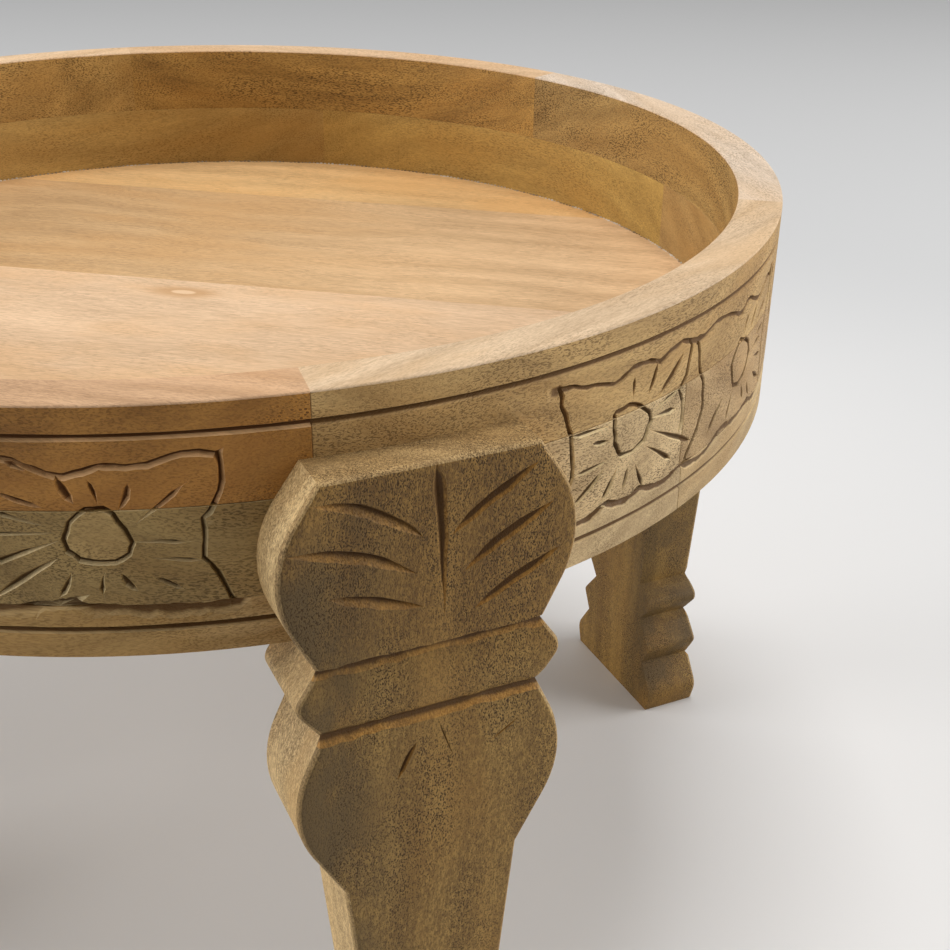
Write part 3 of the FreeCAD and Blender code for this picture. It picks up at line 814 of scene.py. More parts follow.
def carved_strip(mesh, first, last, low, high, seed, hub_paleness=0.0):
    """Add a carved strip of the outside to a mesh; return the points and the turns along its edges."""
    rng = random.Random(seed)
    middle = (first + last) / 2
    reach = RING_OUT * (last - first) / 2
    cuts = strip_cuts(middle, reach, low, high, rng)
    flat, triangles = triangulated(strip_outline(reach, low, high), cuts, GRID_STEP, rng)
    carve = mesh.verts.layers.float["carve"]
    verts = []
    for (s, z), depth, dark in zip(flat, *carved(flat, cuts)):
        vert = mesh.verts.new(round_tray(middle + s / RING_OUT, RING_OUT - depth, z))
        vert[carve] = dark
        verts.append(vert)
    rubbed_and_lit = mesh.faces.layers.float["rubbed_and_lit"]
    hubs = [cut.valley for cut in cuts if hub_paleness and cut.closed and cut.dark == ROUND_DARK]
    for corners in triangles:
        face = mesh.faces.new([verts[n] for n in corners])
        centre = flat[list(corners)].mean(axis=0)
        face[rubbed_and_lit] = hub_paleness * any(within(hub, centre) for hub in hubs)
    edges, turns = {}, {}
    for name, axis, place in (("low", 1, low), ("high", 1, high), ("first", 0, -reach), ("last", 0, reach)):
        numbers = np.nonzero(np.abs(flat[:, axis] - place) < SLACK)[0]
        numbers = sorted(numbers, key=lambda n: flat[n, 1 - axis])
        edges[name] = [verts[n] for n in numbers]
        turns[name] = [middle + flat[n, 0] / RING_OUT for n in numbers]
    return edges, turns


# %% [markdown]
# When a mesh is done, its doubles are merged and its faces turned outwards. Lips of cuts and sharp
# corners stay hard edges, and all the rest is smooth. A wall of a cut is wiped clean and given a painted
# highlight by how far it faces up and to the left, towards the lamps.

# %% From a mesh to a finished piece
CREASE = math.radians(28)
UNCUT = 0.01
UPWARD_SHARE = 0.65
SAWN_SHARE = 0.25
WIPED_AND_LIT_GAIN = 2


def finished(mesh, name, nodes, finish):
    """Turn a mesh into a piece that rides on the table and stands for its nodes."""
    bmesh.ops.remove_doubles(mesh, verts=mesh.verts, dist=WELD)
    bmesh.ops.recalc_face_normals(mesh, faces=mesh.faces)
    open_edges = sum(1 for edge in mesh.edges if not edge.is_manifold)
    carve = mesh.verts.layers.float["carve"]
    uncut = {face: max(vert[carve] for vert in face.verts) < UNCUT for face in mesh.faces}
    wiped_and_lit = mesh.faces.layers.float["wiped_and_lit"]
    for face in mesh.faces:
        face.smooth = True
        outward = face.calc_center_median().to_2d().normalized().to_3d()
        rightward = Vector((-outward.y, outward.x, 0))
        # how far a cut wall faces the top and left lamps; it then takes bare wood and a painted highlight
        facing = face.normal.z * UPWARD_SHARE - face.normal.dot(rightward) * (1 - UPWARD_SHARE)
        face[wiped_and_lit] = 0.0 if uncut[face] else min(max(facing * WIPED_AND_LIT_GAIN, 0.0), 1.0)
        if face.normal.dot(outward) < SAWN_SHARE:
            face[wiped_and_lit] = -1.0
    for edge in mesh.edges:
        lips = len({uncut[face] for face in edge.link_faces}) > 1
        edge.smooth = not lips and edge.calc_face_angle(0.0) < CREASE
    data = bpy.data.meshes.new(name)
    mesh.to_mesh(data)
    mesh.free()
    data.materials.append(finish)
    piece = bpy.data.objects.new(name, data)
    bpy.context.scene.collection.objects.link(piece)
    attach(piece, "root")
    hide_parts(*nodes)
    print(name, "faces", len(data.polygons), "open edges", open_edges)
    return piece


# %% [markdown]
# ## Ring segments
#
# A segment is sawn from a straight plank, so its grain runs along the chord and its ends show slanting
# grain. It could be spun from a section, but then its outside would have no room for the flowers. So the
# carved strip is its outside, and the other faces follow one section all along: a rounded outer edge, the
# sanded top, a rounded inner edge, the inner wall and the glued underside.

# %% Tones of the ring
# tones of the outside and of the sanded top in the upper course, and of the inner wall in the lower one
UPPER_TONES = [((0.47, 0.295, 0.112), (0.62, 0.447, 0.28)), ((0.38, 0.235, 0.075), (0.66, 0.52, 0.39)),
               ((0.43, 0.245, 0.06), (0.64, 0.43, 0.25)), ((0.42, 0.25, 0.07), (0.66, 0.46, 0.28)),
               ((0.33, 0.21, 0.08), (0.64, 0.46, 0.29)), ((0.355, 0.162, 0.032), (0.56, 0.343, 0.19))]
LOWER_TONES = [((0.465, 0.303, 0.137), (0.40, 0.245, 0.085)), ((0.36, 0.215, 0.06), (0.45, 0.28, 0.072)),
               ((0.40, 0.25, 0.075), (0.42, 0.26, 0.075)), ((0.36, 0.21, 0.06), (0.42, 0.26, 0.075)),
               ((0.34, 0.21, 0.075), (0.42, 0.26, 0.075)), ((0.315, 0.205, 0.071), (0.54, 0.36, 0.14))]
# bare wood of the wiped walls, paler as a painted highlight where they face the lamps
BARE_AND_LIT_TONES = {"upper": (0.82, 0.50, 0.24), "lower": (0.90, 0.70, 0.38)}
RING_PORES = 0.85
LAYER_ROLLS = [0.7, -0.5, 0.9, 0.3, -0.8, 0.6]
GRAIN_SLOPE = math.radians(5)
# segments whose round flower hubs are rubbed pale
HUB_PALENESS = {"lower_rim_segment_6": 0.45}
# what sets single pieces apart. A far end is the tone it changes (0 or 1), its new tone, and where along the
# grain this begins and ends
OWN_LOOKS = {
    # the wiped and clean shares also set the painted highlight on cut walls that face the lamps
    "upper_rim_segment_1": {"pores": 0.6, "wiped_and_lit_share": 0.15},
    "upper_rim_segment_6": {"pores": 0.45, "wiped_and_lit_share": 0.85, "clean_and_lit_share": 0.72,
                            "pitted": (0.085, 0.125)},
    "lower_rim_segment_1": {"pores": 0.7, "wiped_and_lit_share": 0.15},
    "lower_rim_segment_6": {"pores": 0.7, "wiped_and_lit_share": 0.9, "clean_and_lit_share": 0.72,
                            "far_end": (0, (0.50, 0.345, 0.17), -0.03, 0.04)},
    "floor_board_1": {"far_end": (0, (0.52, 0.37, 0.19), 0.10, 0.20)},
    "floor_board_3": {"far_end": (1, (0.70, 0.46, 0.25), -0.05, 0.22)},
    "front_leg": {"far_end": (0, (0.235, 0.126, 0.030), 0.296, 0.312)},
}
print("pieces with a look of their own", len(OWN_LOOKS))

# %% Rows of faces and the section of a segment
EDGE_ROUND = 0.9 * MM
ROUND_STEPS = 4
WALL_ROWS = 4


def joined(mesh, row, other):
    """Add triangles between two rows of points that run the same way."""
    here, there = 0, 0
    while here < len(row) - 1 or there < len(other) - 1:
        behind = (here + 1) / len(row) <= (there + 1) / len(other)
        if there == len(other) - 1 or (here < len(row) - 1 and behind):
            mesh.faces.new([row[here], row[here + 1], other[there]])
            here += 1
        else:
            mesh.faces.new([row[here], other[there + 1], other[there]])
            there += 1


def section(low, high, rounding, top_paleness, wall_paleness):
    """Radius, height and paleness of the section, from the outer edge over the top to the inner foot."""
    quarter = [math.pi / 2 * step / ROUND_STEPS for step in range(ROUND_STEPS + 1)]
    bends = [(rounding * (1 - math.cos(angle)), rounding * (1 - math.sin(angle))) for angle in quarter]
    spots = [(RING_OUT - inset, high - fall, top_paleness) for inset, fall in bends[1:]]
    spots += [(RING_IN + inset, high - fall, top_paleness) for fall, inset in bends]
    shoulder = high - rounding
    for row in range(1, WALL_ROWS + 1):
        spots.append((RING_IN, shoulder - (shoulder - low) * row / WALL_ROWS, wall_paleness))
    return spots


# %% One segment of the ring
RING_SHIFTS = (0.37, 0.11, 0.23)
COURSES = {
    # first joint, lower and upper level, rounding, paleness of top and inner wall, tones and first seed
    "upper": (math.radians(-7.0), COURSE_SEAM, RIM_TOP, EDGE_ROUND, (1.0, 0.0), UPPER_TONES, 11),
    "lower": (math.radians(26.3), FLOOR_TOP, COURSE_SEAM, GLUED["depth"] / 2, (0.0, 1.0), LOWER_TONES, 31),
}


def ring_segment(course, number):
    """One segment of the ring, closed on all sides."""
    first_joint, low, high, rounding, palenesses, tones, first_seed = COURSES[course]
    name = f"{course}_rim_segment_{number + 1}"
    span = 2 * math.pi / SEGMENTS
    first = first_joint + number * span
    seed = first_seed + number
    mesh = new_mesh()
    rubbed_and_lit = mesh.faces.layers.float["rubbed_and_lit"]
    paleness = HUB_PALENESS.get(name, 0.0)
    edges, turns = carved_strip(mesh, first, first + span, low, high - rounding, seed, paleness)
    row = edges["high"]
    profile = []
    for radius, height, paleness in section(low, high, rounding, *palenesses):
        following = [mesh.verts.new(round_tray(turn, radius, height)) for turn in turns["high"]]
        for n in range(len(row) - 1):
            face = mesh.faces.new([row[n], row[n + 1], following[n + 1], following[n]])
            face[rubbed_and_lit] = paleness
        row = following
        profile.append(row)
    joined(mesh, row, edges["low"])
    for place, edge in ((0, edges["first"]), (-1, edges["last"])):
        mesh.faces.new(edge + [points[place] for points in profile])
    grain = (0.0, GRAIN_SLOPE * (-1) ** number, -(first + span / 2))
    shift = tuple(seed * part for part in RING_SHIFTS)
    look = {"pores": RING_PORES, "bare_and_lit": BARE_AND_LIT_TONES[course], **OWN_LOOKS.get(name, {})}
    finish = timber(name, grain, LAYER_ROLLS[number], shift, *tones[number], **look)
    return finished(mesh, f"{name}_carved", [name], finish)


# %% Both courses
for number in range(SEGMENTS):
    for course in COURSES:
        ring_segment(course, number)

# %% [markdown]
# ## Floor boards
#
# The floor is glued up edge to edge and sawn round, and the ring stands on it, so its edge shows as the
# lowest band with a turned line in it. An inner board meets the edge at both ends. Boards could be cut
# from one carved disc, but the saw line would tear its cuts. So the carved strips of each board are made
# first. A row of points a little inside the edge keeps the big flat faces clear of the cuts, and the top,
# the underside and the glued edges are then spanned between these rows.

# %% Where the boards lie, and their tones
BOARD_TURN = math.radians(-35.5)
BOARD_SLOPE = math.radians(1.5)
BOARD_JOINT_SHARES = [-0.467, 0.09, 0.647]
BOARD_TONES = [((0.43, 0.26, 0.085), (0.77, 0.55, 0.35)), ((0.46, 0.315, 0.15), (0.72, 0.495, 0.305)),
               ((0.42, 0.27, 0.12), (0.58, 0.365, 0.178)), ((0.36, 0.22, 0.075), (0.72, 0.45, 0.20))]
BOARD_ROLLS = [1.2, 1.35, 1.1, 1.4]
BOARD_SHIFTS = [(0.31, 0.05, 0.0), (0.0, 0.0, 0.0), (0.83, -0.21, 0.0), (0.47, 0.33, 0.0)]
BOARD_LOOK = {"pores": 0.45, "dash": 220.0, "figure": 0.7}
BOARD_SEED = 51
FLAT_RADIUS = RING_OUT - 4.0 * MM
KNOT_BOARD = 1
KNOT_ALONG, KNOT_ACROSS = -12 * MM, 10 * MM
KNOT_PLACE = (KNOT_ALONG * math.cos(BOARD_TURN) - KNOT_ACROSS * math.sin(BOARD_TURN),
              KNOT_ALONG * math.sin(BOARD_TURN) + KNOT_ACROSS * math.cos(BOARD_TURN), FLOOR_TOP)


def board_arcs(near, far):
    """Turns at which a board meets the edge of the floor, one arc or two."""
    starts, ends = math.asin(max(near, -1.0)), math.asin(min(far, 1.0))
    offset = BOARD_TURN + math.pi / 2
    if near <= -1:
        return [(offset - math.pi - ends, offset + ends)]
    if far >= 1:
        return [(offset + starts, offset + math.pi - starts)]
    return [(offset + starts, offset + ends), (offset + math.pi - ends, offset + math.pi - starts)]


# %% One board, and all of them
def floor_board(number, near, far):
    """One board of the floor, between two joints given as shares of its radius."""
    name = f"floor_board_{number + 1}"
    mesh = new_mesh()
    strips = []
    inner_arcs = board_arcs(near * RING_OUT / FLAT_RADIUS, far * RING_OUT / FLAT_RADIUS)
    for place, (arc, inner_arc) in enumerate(zip(board_arcs(near, far), inner_arcs)):
        edges, turns = carved_strip(mesh, *arc, APRON_BOTTOM, FLOOR_TOP, BOARD_SEED + 2 * number + place)
        stretch = (inner_arc[1] - inner_arc[0]) / (arc[1] - arc[0])
        for level, height in (("high", FLOOR_TOP), ("low", APRON_BOTTOM)):
            inner_turns = [inner_arc[0] + (turn - arc[0]) * stretch for turn in turns[level]]
            row = [mesh.verts.new(round_tray(turn, FLAT_RADIUS, height)) for turn in inner_turns]
            for n in range(len(row) - 1):
                mesh.faces.new([edges[level][n], edges[level][n + 1], row[n + 1], row[n]])
            edges[f"{level}_row"] = row
        strips.append(edges)
    top = mesh.faces.new([vert for edges in strips for vert in edges["high_row"]])
    top[mesh.faces.layers.float["rubbed_and_lit"]] = 1.0
    mesh.faces.new([vert for edges in strips for vert in edges["low_row"]][::-1])
    for edges, following in zip(strips, strips[1:] + strips[:1]):
        upper = [edges["high_row"][-1], following["high_row"][0]]
        lower = [following["low_row"][0], edges["low_row"][-1]]
        mesh.faces.new(edges["last"] + upper + following["first"][::-1] + lower)
    knot = KNOT_PLACE if number == KNOT_BOARD else None
    finish = timber(name, (0.0, BOARD_SLOPE, -BOARD_TURN), BOARD_ROLLS[number], BOARD_SHIFTS[number],
                    *BOARD_TONES[number], knot=knot, **BOARD_LOOK, **OWN_LOOKS.get(name, {}))
    return finished(mesh, f"{name}_finished", [name], finish)


joints = [-1.0] + BOARD_JOINT_SHARES + [1.0]
for number, (near, far) in enumerate(zip(joints, joints[1:])):
    floor_board(number, near, far)

# %% [markdown]
# ## Squeezed glue
#
# When the ring is pressed on the floor, glue creeps out along the inside corner and dries to a thin
# ragged bead of grey and brown crumbs. Setting each crumb by hand would be endless. It is the one thing
# here that repeats along a path, so nodes set crumbs of chance size round a circle: the size of the
# corner and of the crumbs are inputs, and the result is kept as a plain mesh.

# %% Dried glue
GLUE_TONES = [(0.20, 0.13, 0.06), (0.60, 0.54, 0.44)]
GLUE_SCALE = 60.0

glue = bpy.data.materials.new("dried_glue")
start = new_tree(glue)
place = start.make("ShaderNodeTexCoord", output="Object")
mottle = start.make("ShaderNodeTexNoise", {}, {"Vector": place, "Scale": GLUE_SCALE, "Detail": 3.0})
mottle = mottle.step(0.42, 0.66).mix(*[colour(*tone) for tone in GLUE_TONES])
crust = start.make("ShaderNodeBsdfPrincipled", {}, {"Base Color": mottle, "Roughness": 0.85})
start.make("ShaderNodeOutputMaterial", {}, {"Surface": crust})
print("dried glue of", len(GLUE_TONES), "tones")

# %% A tree that sets crumbs round a corner
CRUMB_SEED = 5
SMALLEST_SHARES = (0.3, 0.3, 0.2)
LARGEST_SHARES = (1.5, 1.5, 0.9)

group = bpy.data.node_groups.new("squeezed_glue", "GeometryNodeTree")
sockets = {"Corner Radius": "NodeSocketFloat", "Corner Height": "NodeSocketFloat", "Crumbs": "NodeSocketInt",
           "Crumb Size": "NodeSocketFloat", "Glue": "NodeSocketMaterial"}
for label, kind in sockets.items():
    group.interface.new_socket(label, in_out="INPUT", socket_type=kind)
group.interface.new_socket("Geometry", in_out="OUTPUT", socket_type="NodeSocketGeometry")
start = Wire(group)
given = group.nodes.new("NodeGroupInput")
radius, height, count, size, finish = [Wire(group, given.outputs[label]) for label in sockets]
lift = start.make("ShaderNodeCombineXYZ", {}, {"Z": height})
circle = start.make("GeometryNodeCurvePrimitiveCircle", {}, {"Resolution": count, "Radius": radius})
spots = start.make("GeometryNodeCurveToPoints", {"mode": "EVALUATED"}, {"Curve": circle})
spots = start.make("GeometryNodeSetPosition", {}, {"Geometry": spots, "Offset": lift})
crumb = start.make("GeometryNodeMeshIcoSphere", {}, {"Radius": size, "Subdivisions": 2})
squash = start.make("FunctionNodeRandomValue", {"data_type": "FLOAT_VECTOR"},
                    {"Min": SMALLEST_SHARES, "Max": LARGEST_SHARES, "Seed": CRUMB_SEED})
crumbs = {"Points": spots, "Instance": crumb, "Scale": squash}
crumbs = start.make("GeometryNodeInstanceOnPoints", {}, crumbs)
solid = start.make("GeometryNodeRealizeInstances", {}, {"Geometry": crumbs})
painted = start.make("GeometryNodeSetMaterial", {}, {"Geometry": solid, "Material": finish})
group.links.new(painted.socket, group.nodes.new("NodeGroupOutput").inputs["Geometry"])
print("glue tree nodes", len(group.nodes))

# %% Keep the bead as a plain mesh
CRUMBS = 640
CRUMB_SIZE = 1.0 * MM

carrier = bpy.data.objects.new("glue_carrier", bpy.data.meshes.new("glue_carrier"))
bpy.context.scene.collection.objects.link(carrier)
modifier = carrier.modifiers.new("squeezed_glue", "NODES")
modifier.node_group = group
chosen = {"Corner Radius": RING_IN, "Corner Height": FLOOR_TOP, "Crumbs": CRUMBS, "Crumb Size": CRUMB_SIZE,
          "Glue": glue}
for item in group.interface.items_tree:
    if item.in_out == "INPUT":
        modifier[item.identifier] = chosen[item.name]
carrier.update_tag()
evaluated = carrier.evaluated_get(bpy.context.evaluated_depsgraph_get())
bead = bpy.data.objects.new("corner_glue", bpy.data.meshes.new_from_object(evaluated))
bpy.data.objects.remove(carrier)
bpy.context.scene.collection.objects.link(bead)
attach(bead, "root")
print("corner_glue faces", len(bead.data.polygons))

# %% [markdown]
# ## Legs
#
# A leg is a flat board sawn to an outline of lobes and beads. Its face is carved: a leaf with a middle
# vein and slanting side veins, and a sawn line across each neck. Beads are rounded over and all edges of
# the face are worn. The back is notched: the lap above bears on the ring, the shelf carries the floor,
# and the rest is flat. A spline could draw the outline, but corners are easier to measure on a leg: they
# are given by half width and height, and the round ones become arcs.

# %% The outline and its rounded corners
LEG_FACE = -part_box("front_leg")[0].y
LEG_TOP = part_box("front_leg")[1].z
LEG_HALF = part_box("front_leg")[1].x
ARC_STEPS = 10
OUTLINE_STEP = 4.0 * MM
LEG_CORNERS = {
    # half width, height and rounding in millimetres
    "top": (41.5, 379, 0), "upper_lobe": (64.7, 343.3, 46), "upper_neck": (44.5, 303.6, 0),
    "bead": (54.3, 289.2, 7), "lower_neck": (43.8, 275, 0), "lower_lobe": (60.3, 239.5, 47),
    "waist_top": (37, 197, 0), "waist_end": (27, 92, 0), "ankle_bead": (42.5, 81.5, 6),
    "ankle_neck": (30, 66, 0), "flare": (44.5, 48, 4), "foot_neck": (37, 34, 0),
    "foot": (50.5, 14, 12), "sole": (46.5, 0, 0),
}


def rounded(corners):
    """Points down one side of an outline whose corners are rounded by arcs."""
    result = []
    for number, (across, height, radius) in enumerate(corners):
        here = Vector((across, height))
        if not radius:
            result.append(here)
            continue
        back = (Vector(corners[number - 1][:2]) - here).normalized()
        onward = (Vector(corners[number + 1][:2]) - here).normalized()
        half_angle = back.angle(onward) / 2
        tangent = radius / math.tan(half_angle)
        centre = here + (back + onward).normalized() * radius / math.sin(half_angle)
        starts, ends = here + back * tangent - centre, here + onward * tangent - centre
        for step in range(ARC_STEPS + 1):
            result.append(centre + starts.lerp(ends, step / ARC_STEPS).normalized() * radius)
    return result


# %% Points along the whole outline
def spaced(points, step):
    """The same closed line with points no further apart than a step."""
    result = []
    for here, there in zip(points, points[1:] + points[:1]):
        pieces = max(1, math.ceil((there - here).length / step))
        result += [here.lerp(there, n / pieces) for n in range(pieces)]
    return result


def split_at(points, height):
    """The same line with a point where it crosses a height."""
    result = [points[0]]
    for here, there in zip(points, points[1:]):
        if (here.y - height) * (there.y - height) < 0:
            result.append(here.lerp(there, (height - here.y) / (there.y - here.y)))
        result.append(there)
    return result


right_side = split_at([spot * MM for spot in rounded(list(LEG_CORNERS.values()))], APRON_BOTTOM)
left_side = [Vector((-spot.x, spot.y)) for spot in right_side]
leg_outline = spaced(right_side[::-1] + left_side, OUTLINE_STEP)
outline_array = np.array([(spot.x, spot.y) for spot in leg_outline])
print("leg outline points", len(leg_outline))
print(f"half width {max(outline_array[:, 0]):.4f} of {LEG_HALF:.4f}")

# %% [markdown]
# The leaf runs from the top of the leg to the first neck. Its left veins are arched, its right veins are
# straight, and they do not quite meet the middle one. The lower lobe has one short stroke and two
# scratches. The line sawn across each neck is ragged, with bare wood and painted highlight on its lower
# wall.

# %% Cuts of the leg's face
VEIN_WIDTH = 3.6 * MM
VEIN_DEPTH = 2.4 * MM
NECK = {"width": 5.0 * MM, "depth": 3.0 * MM, "lean": -LEAN, "spread": RAGGED, "dark": 0.95}
NECK_STEP = 4 * MM
NECK_OVERRUN = 1.2
NECKS = ["upper_neck", "lower_neck", "ankle_neck", "foot_neck"]
LEAF_VEINS = {
    # points in millimetres across and up
    "middle": [(1, 378), (3, 356), (4, 316)],
    "left_top": [(-44, 371), (-31, 369), (-19, 363), (-8, 355), (-4, 350)],
    "left_middle": [(-54, 354), (-39, 352), (-23, 347), (-6, 336)],
    "left_bottom": [(-40, 334), (-24, 330), (-4, 322)],
    "right_top": [(7, 349), (19, 359), (40, 371)],
    "right_middle": [(12, 333), (25, 343), (47, 354)],
    "right_bottom": [(16, 316), (29, 324), (50, 334)],
    "lobe_near": [(-15, 247), (-10.5, 256), (-7, 262)],
    "scratch_middle": [(2, 269), (5, 260), (8, 251)],
    "scratch_right": [(36, 261), (24, 253)],
}
VEIN_STROKES = {
    # share of the full width, lean, form and darkness of each kind of vein
    "middle": (1.5, 0.0, wedge, 1.5),
    "left": (1.4, -0.5, spindle, 0.8),
    "right": (1.3, -0.2, spindle, 1.5),
    "lobe": (0.7, 0.0, spindle, 1.3),
    "scratch": (0.25, 0.0, spindle, 1.0),
}


def leg_cuts(mirror, seed):
    """The cuts of one leg's face."""
    rng = random.Random(seed)
    cuts = []
    for name, vein in LEAF_VEINS.items():
        spots = [Vector((mirror * x, z)) * MM for x, z in vein]
        line = hand_line(spots, LINE_STEP, STRAY / 2, rng, True)
        share, lean, shape, dark = VEIN_STROKES[name.split("_")[0]]
        depth = VEIN_DEPTH * min(share, 1.0)
        cuts.append(Gouge(line, VEIN_WIDTH * share, depth, shape, rng, lean=lean * mirror, dark=dark))
    for name in NECKS:
        end, height = LEG_CORNERS[name][0] * MM * NECK_OVERRUN, LEG_CORNERS[name][1] * MM
        line = hand_line([(-end, height), (end, height)], NECK_STEP, STRAY / 2, rng, False)
        cuts.append(Gouge(line, shape=even, rng=rng, **NECK))
    return cuts


# %% Pillowed beads and worn edges
WORN_EDGE = 2.2 * MM
WORN_SHARES = [1.0, 0.6, 0.25]
PILLOW_DEPTH = 2.4 * MM
PILLOW_POWER = 2.5
PILLOWS = [("upper_neck", "lower_neck"), ("waist_end", "ankle_neck"), ("ankle_neck", "foot_neck")]


def inside_leg(spot):
    """Whether a point is inside the leg's outline."""
    return within(outline_array, spot)


def edge_distance(points):
    """The distance of each point to the outline."""
    best = np.full(len(points), np.inf)
    for here, there in zip(outline_array, np.roll(outline_array, -1, axis=0)):
        run = there - here
        t = np.clip((points - here) @ run / (run @ run), 0, 1)
        best = np.minimum(best, np.hypot(*(points - here - t[:, None] * run).T))
    return best


def face_depth(flat, cuts):
    """Depth of the carved face: cuts, pillowed beads and worn edges together."""
    cut, dark = carved(flat, cuts)
    form = np.zeros(len(flat))
    for above_neck, below_neck in PILLOWS:
        high, low = LEG_CORNERS[above_neck][1] * MM, LEG_CORNERS[below_neck][1] * MM
        share = np.abs(flat[:, 1] - (high + low) / 2) / ((high - low) / 2)
        form = np.maximum(form, np.where(share < 1, PILLOW_DEPTH * share ** PILLOW_POWER, 0))
    near = np.clip(1 - edge_distance(flat) / WORN_EDGE, 0, 1)
    worn = WORN_EDGE * (1 - np.sqrt(1 - near ** 2))
    return np.maximum(np.maximum(cut, form), worn), dark


# %% [markdown]
# A leg is put together from five faces that share their edge points: the carved face, the sawn sides, the
# round back of the lap, the shelf and the flat back. A Boolean could cut the notch out of a plain board,
# but it would split the sides again. Points that fall together are merged at the end.

# %% A leg under way
class LegMesh:
    """A leg under way, whose points are given across, up and outwards."""

    def __init__(self, degrees):
        turn = math.radians(degrees)
        self.outward = round_tray(turn, 1.0, 0.0)
        self.across = Vector((math.cos(turn), math.sin(turn), 0))
        self.mesh = new_mesh()

    def spot(self, x, z, depth):
        return self.mesh.verts.new(self.across * x + self.outward * depth + Vector((0, 0, z)))

    def face(self, corners, paleness=0.0):
        self.mesh.faces.new(corners)[self.mesh.faces.layers.float["rubbed_and_lit"]] = paleness


def boundary_loop(triangles):
    """Point numbers round the edge of a triangulated face, in order."""
    following = {}
    sides = {(a, b) for corners in triangles for a, b in zip(corners, list(corners[1:]) + list(corners[:1]))}
    for a, b in sides:
        if (b, a) not in sides:
            following[a] = b
    first = next(iter(following))
    loop = [first]
    while following[loop[-1]] != first:
        loop.append(following[loop[-1]])
    return loop


# %% The carved face of a leg
WORN_PALENESS = 0.45


def carved_face(leg, cuts, rng):
    """Add the carved face of a leg; return its flat points, its mesh points and the loop round its edge."""
    neighbours = zip(leg_outline[-1:] + leg_outline, leg_outline[1:] + leg_outline[:1])
    inward = [Vector((before.y - after.y, after.x - before.x)).normalized() for before, after in neighbours]
    insets = []
    for share in WORN_SHARES:
        line = [here + way * WORN_EDGE * share for here, way in zip(leg_outline, inward)]
        insets.append([(s.x, s.y) for s in line + line[:1]])
    outline = [(s.x, s.y) for s in leg_outline]
    flat, triangles = triangulated(outline, cuts, GRID_STEP, rng, inside_leg, insets)
    triangles = [corners for corners in triangles if inside_leg(flat[list(corners)].mean(axis=0))]
    depth, dark = face_depth(flat, cuts)
    carve = leg.mesh.verts.layers.float["carve"]
    front = {}
    for number in sorted({n for corners in triangles for n in corners}):
        front[number] = leg.spot(*flat[number], LEG_FACE - depth[number])
        front[number][carve] = dark[number]
    middles = np.array([flat[list(corners)].mean(axis=0) for corners in triangles])
    for corners, distance in zip(triangles, edge_distance(middles)):
        worn = distance < WORN_EDGE * WORN_SHARES[1]
        leg.face([front[n] for n in corners], WORN_PALENESS if worn else 0.0)
    return flat, front, boundary_loop(triangles)


# %% Sides and back of a leg
TOP_PALENESS = 0.35
BACK_STEP = 1.5 * OUTLINE_STEP


def lap(x):
    """How far out the round back of the lap lies."""
    return math.sqrt(RING_OUT ** 2 - x ** 2)


def flat_back(x):
    """How far out the flat back lies."""
    return RING_IN


def sawn_sides(leg, flat, front, chain, back, paleness):
    """Add the sides along a chain of edge points; the two under the shelf take in its corners."""
    for a, b in zip(chain, chain[1:]):
        (ax, az), (bx, bz) = flat[a], flat[b]
        corners = [front[a], front[b], leg.spot(bx, bz, back(bx)), leg.spot(ax, az, back(ax))]
        if back is flat_back and b == chain[-1]:
            corners.insert(2, leg.spot(bx, bz, lap(bx)))
        if back is flat_back and a == chain[0]:
            corners.append(leg.spot(ax, az, lap(ax)))
        leg.face(corners, TOP_PALENESS if min(az, bz) > LEG_TOP - SLACK else paleness)


def back_face(leg, flat, chain, back, rim, rng):
    """Add a back inside a chain of edge points, closed by the points of the shelf's rim."""
    outline = [tuple(flat[n]) for n in chain]
    outline += rim if outline[-1][0] < outline[0][0] else rim[::-1]
    plane, triangles = triangulated(outline, [], BACK_STEP, rng, inside_leg)
    for corners in triangles:
        if inside_leg(plane[list(corners)].mean(axis=0)):
            leg.face([leg.spot(*plane[n], back(plane[n][0])) for n in corners])


# %% One leg, and all four
LEGS = {
    # place round the tray in degrees, tone and paleness of the sawn sides, which on the front leg is partly
    # painted light
    "front_leg": (0, (0.285, 0.166, 0.044), 0.9),
    "right_leg": (90, (0.245, 0.138, 0.031), 0.0),
    "back_leg": (180, (0.30, 0.18, 0.055), 0.2),
    "left_leg": (270, (0.28, 0.165, 0.05), 0.1),
}
# the paler second tone of the legs: sanded wood, and on the front leg's sides partly painted light
LEG_SANDED_AND_LIT = (0.60, 0.42, 0.20)
# bare wood of the clean cut walls, pale also as a painted highlight
LEG_BARE_AND_LIT = (0.57, 0.27, 0.05)
LEG_GRAIN = (0.0, math.radians(87), 0.0)
LEG_ROLL = 0.5
LEG_LOOK = {"pores": 1.0, "dash": 1100.0, "fine": 2000.0, "speckle": 3.6, "wiped_and_lit_share": 0.6,
            "bare_and_lit": LEG_BARE_AND_LIT}
LEG_SHIFTS = (0.31, 0.17, 0.07)
LEG_SEED = 71


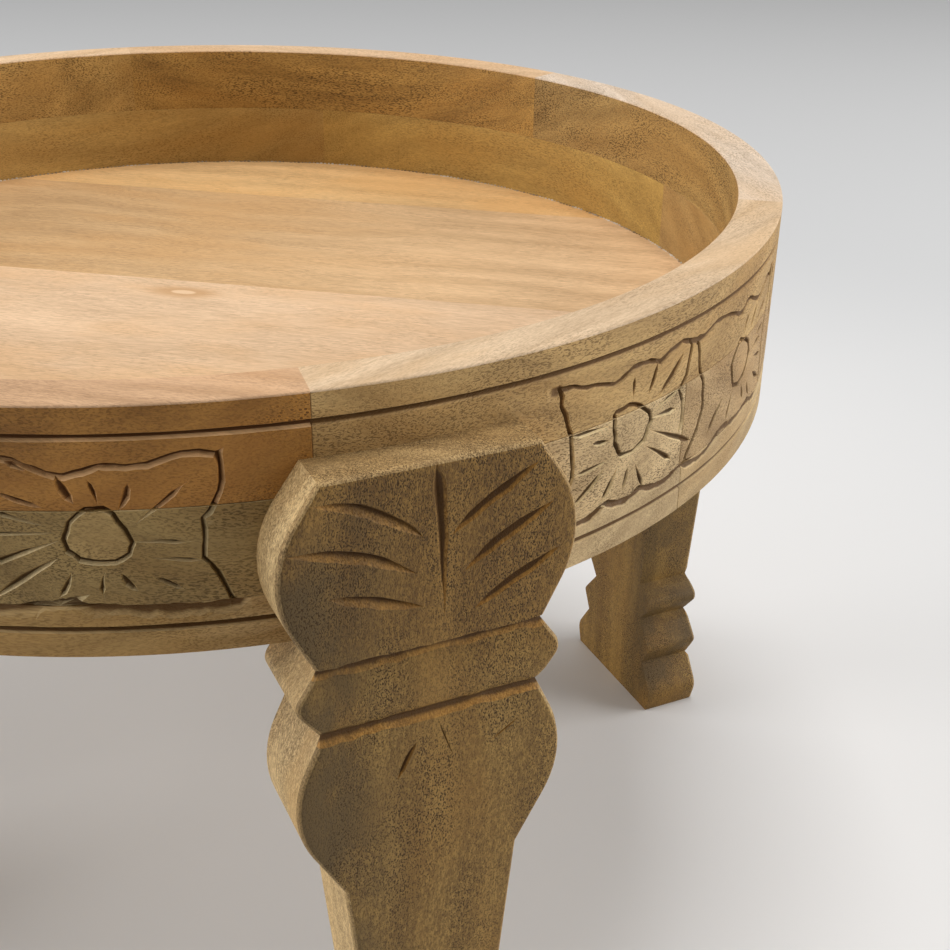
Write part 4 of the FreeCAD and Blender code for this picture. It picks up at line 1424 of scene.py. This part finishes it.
def whole_leg(name, seed):
    """One leg, closed on all sides."""
    degrees, tone, paleness = LEGS[name]
    rng = random.Random(seed)
    leg = LegMesh(degrees)
    flat, front, loop = carved_face(leg, leg_cuts(1 if degrees < 180 else -1, seed), rng)
    first, last = [place for place, n in enumerate(loop) if abs(flat[n][1] - APRON_BOTTOM) < SLACK]
    chains = [loop[first:last + 1], loop[last:] + loop[:first + 1]]
    upper, lower = sorted(chains, key=lambda chain: -max(flat[n][1] for n in chain))
    sawn_sides(leg, flat, front, upper, lap, paleness)
    sawn_sides(leg, flat, front, lower, flat_back, paleness)
    ends = sorted(flat[n][0] for n in (upper[0], upper[-1]))
    shelf = np.linspace(*ends, round((ends[1] - ends[0]) / OUTLINE_STEP) + 1)
    inner_edge = [leg.spot(x, APRON_BOTTOM, RING_IN) for x in ends[::-1]]
    leg.face([leg.spot(x, APRON_BOTTOM, lap(x)) for x in shelf] + inner_edge)
    back_face(leg, flat, upper, lap, [(x, APRON_BOTTOM) for x in shelf[1:-1]], rng)
    back_face(leg, flat, lower, flat_back, [], rng)
    shift = tuple(seed * part for part in LEG_SHIFTS)
    finish = timber(name, LEG_GRAIN, LEG_ROLL, shift, tone, LEG_SANDED_AND_LIT, stain=tuple(-leg.across), **LEG_LOOK,
                    **OWN_LOOKS.get(name, {}))
    return finished(leg.mesh, f"{name}_carved", [name], finish)


for number, name in enumerate(LEGS):
    whole_leg(name, LEG_SEED + number)

# %% [markdown]
# ## Dowels
#
# Turned dowels hold the legs. They could be made again here, but they are hidden once the table is
# together and their shape is right as packed, so they only get a plain turned wood.

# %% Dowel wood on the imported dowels
DOWEL_TONE = (0.52, 0.37, 0.21)
UNTURNED = (0.0, 0.0, 0.0)
dowel_wood = timber("dowel_wood", UNTURNED, 0.0, UNTURNED, DOWEL_TONE, DOWEL_TONE, pores=0.2)
for name in ("leg_lap_dowels", "leg_shelf_dowels"):
    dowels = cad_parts[name]
    dowels.data.materials.clear()
    dowels.data.materials.append(dowel_wood)
    print(name, "finished")

# %% [markdown]
# ## Size
#
# The carved table should fill the box of the imported model, since carving only takes wood away.
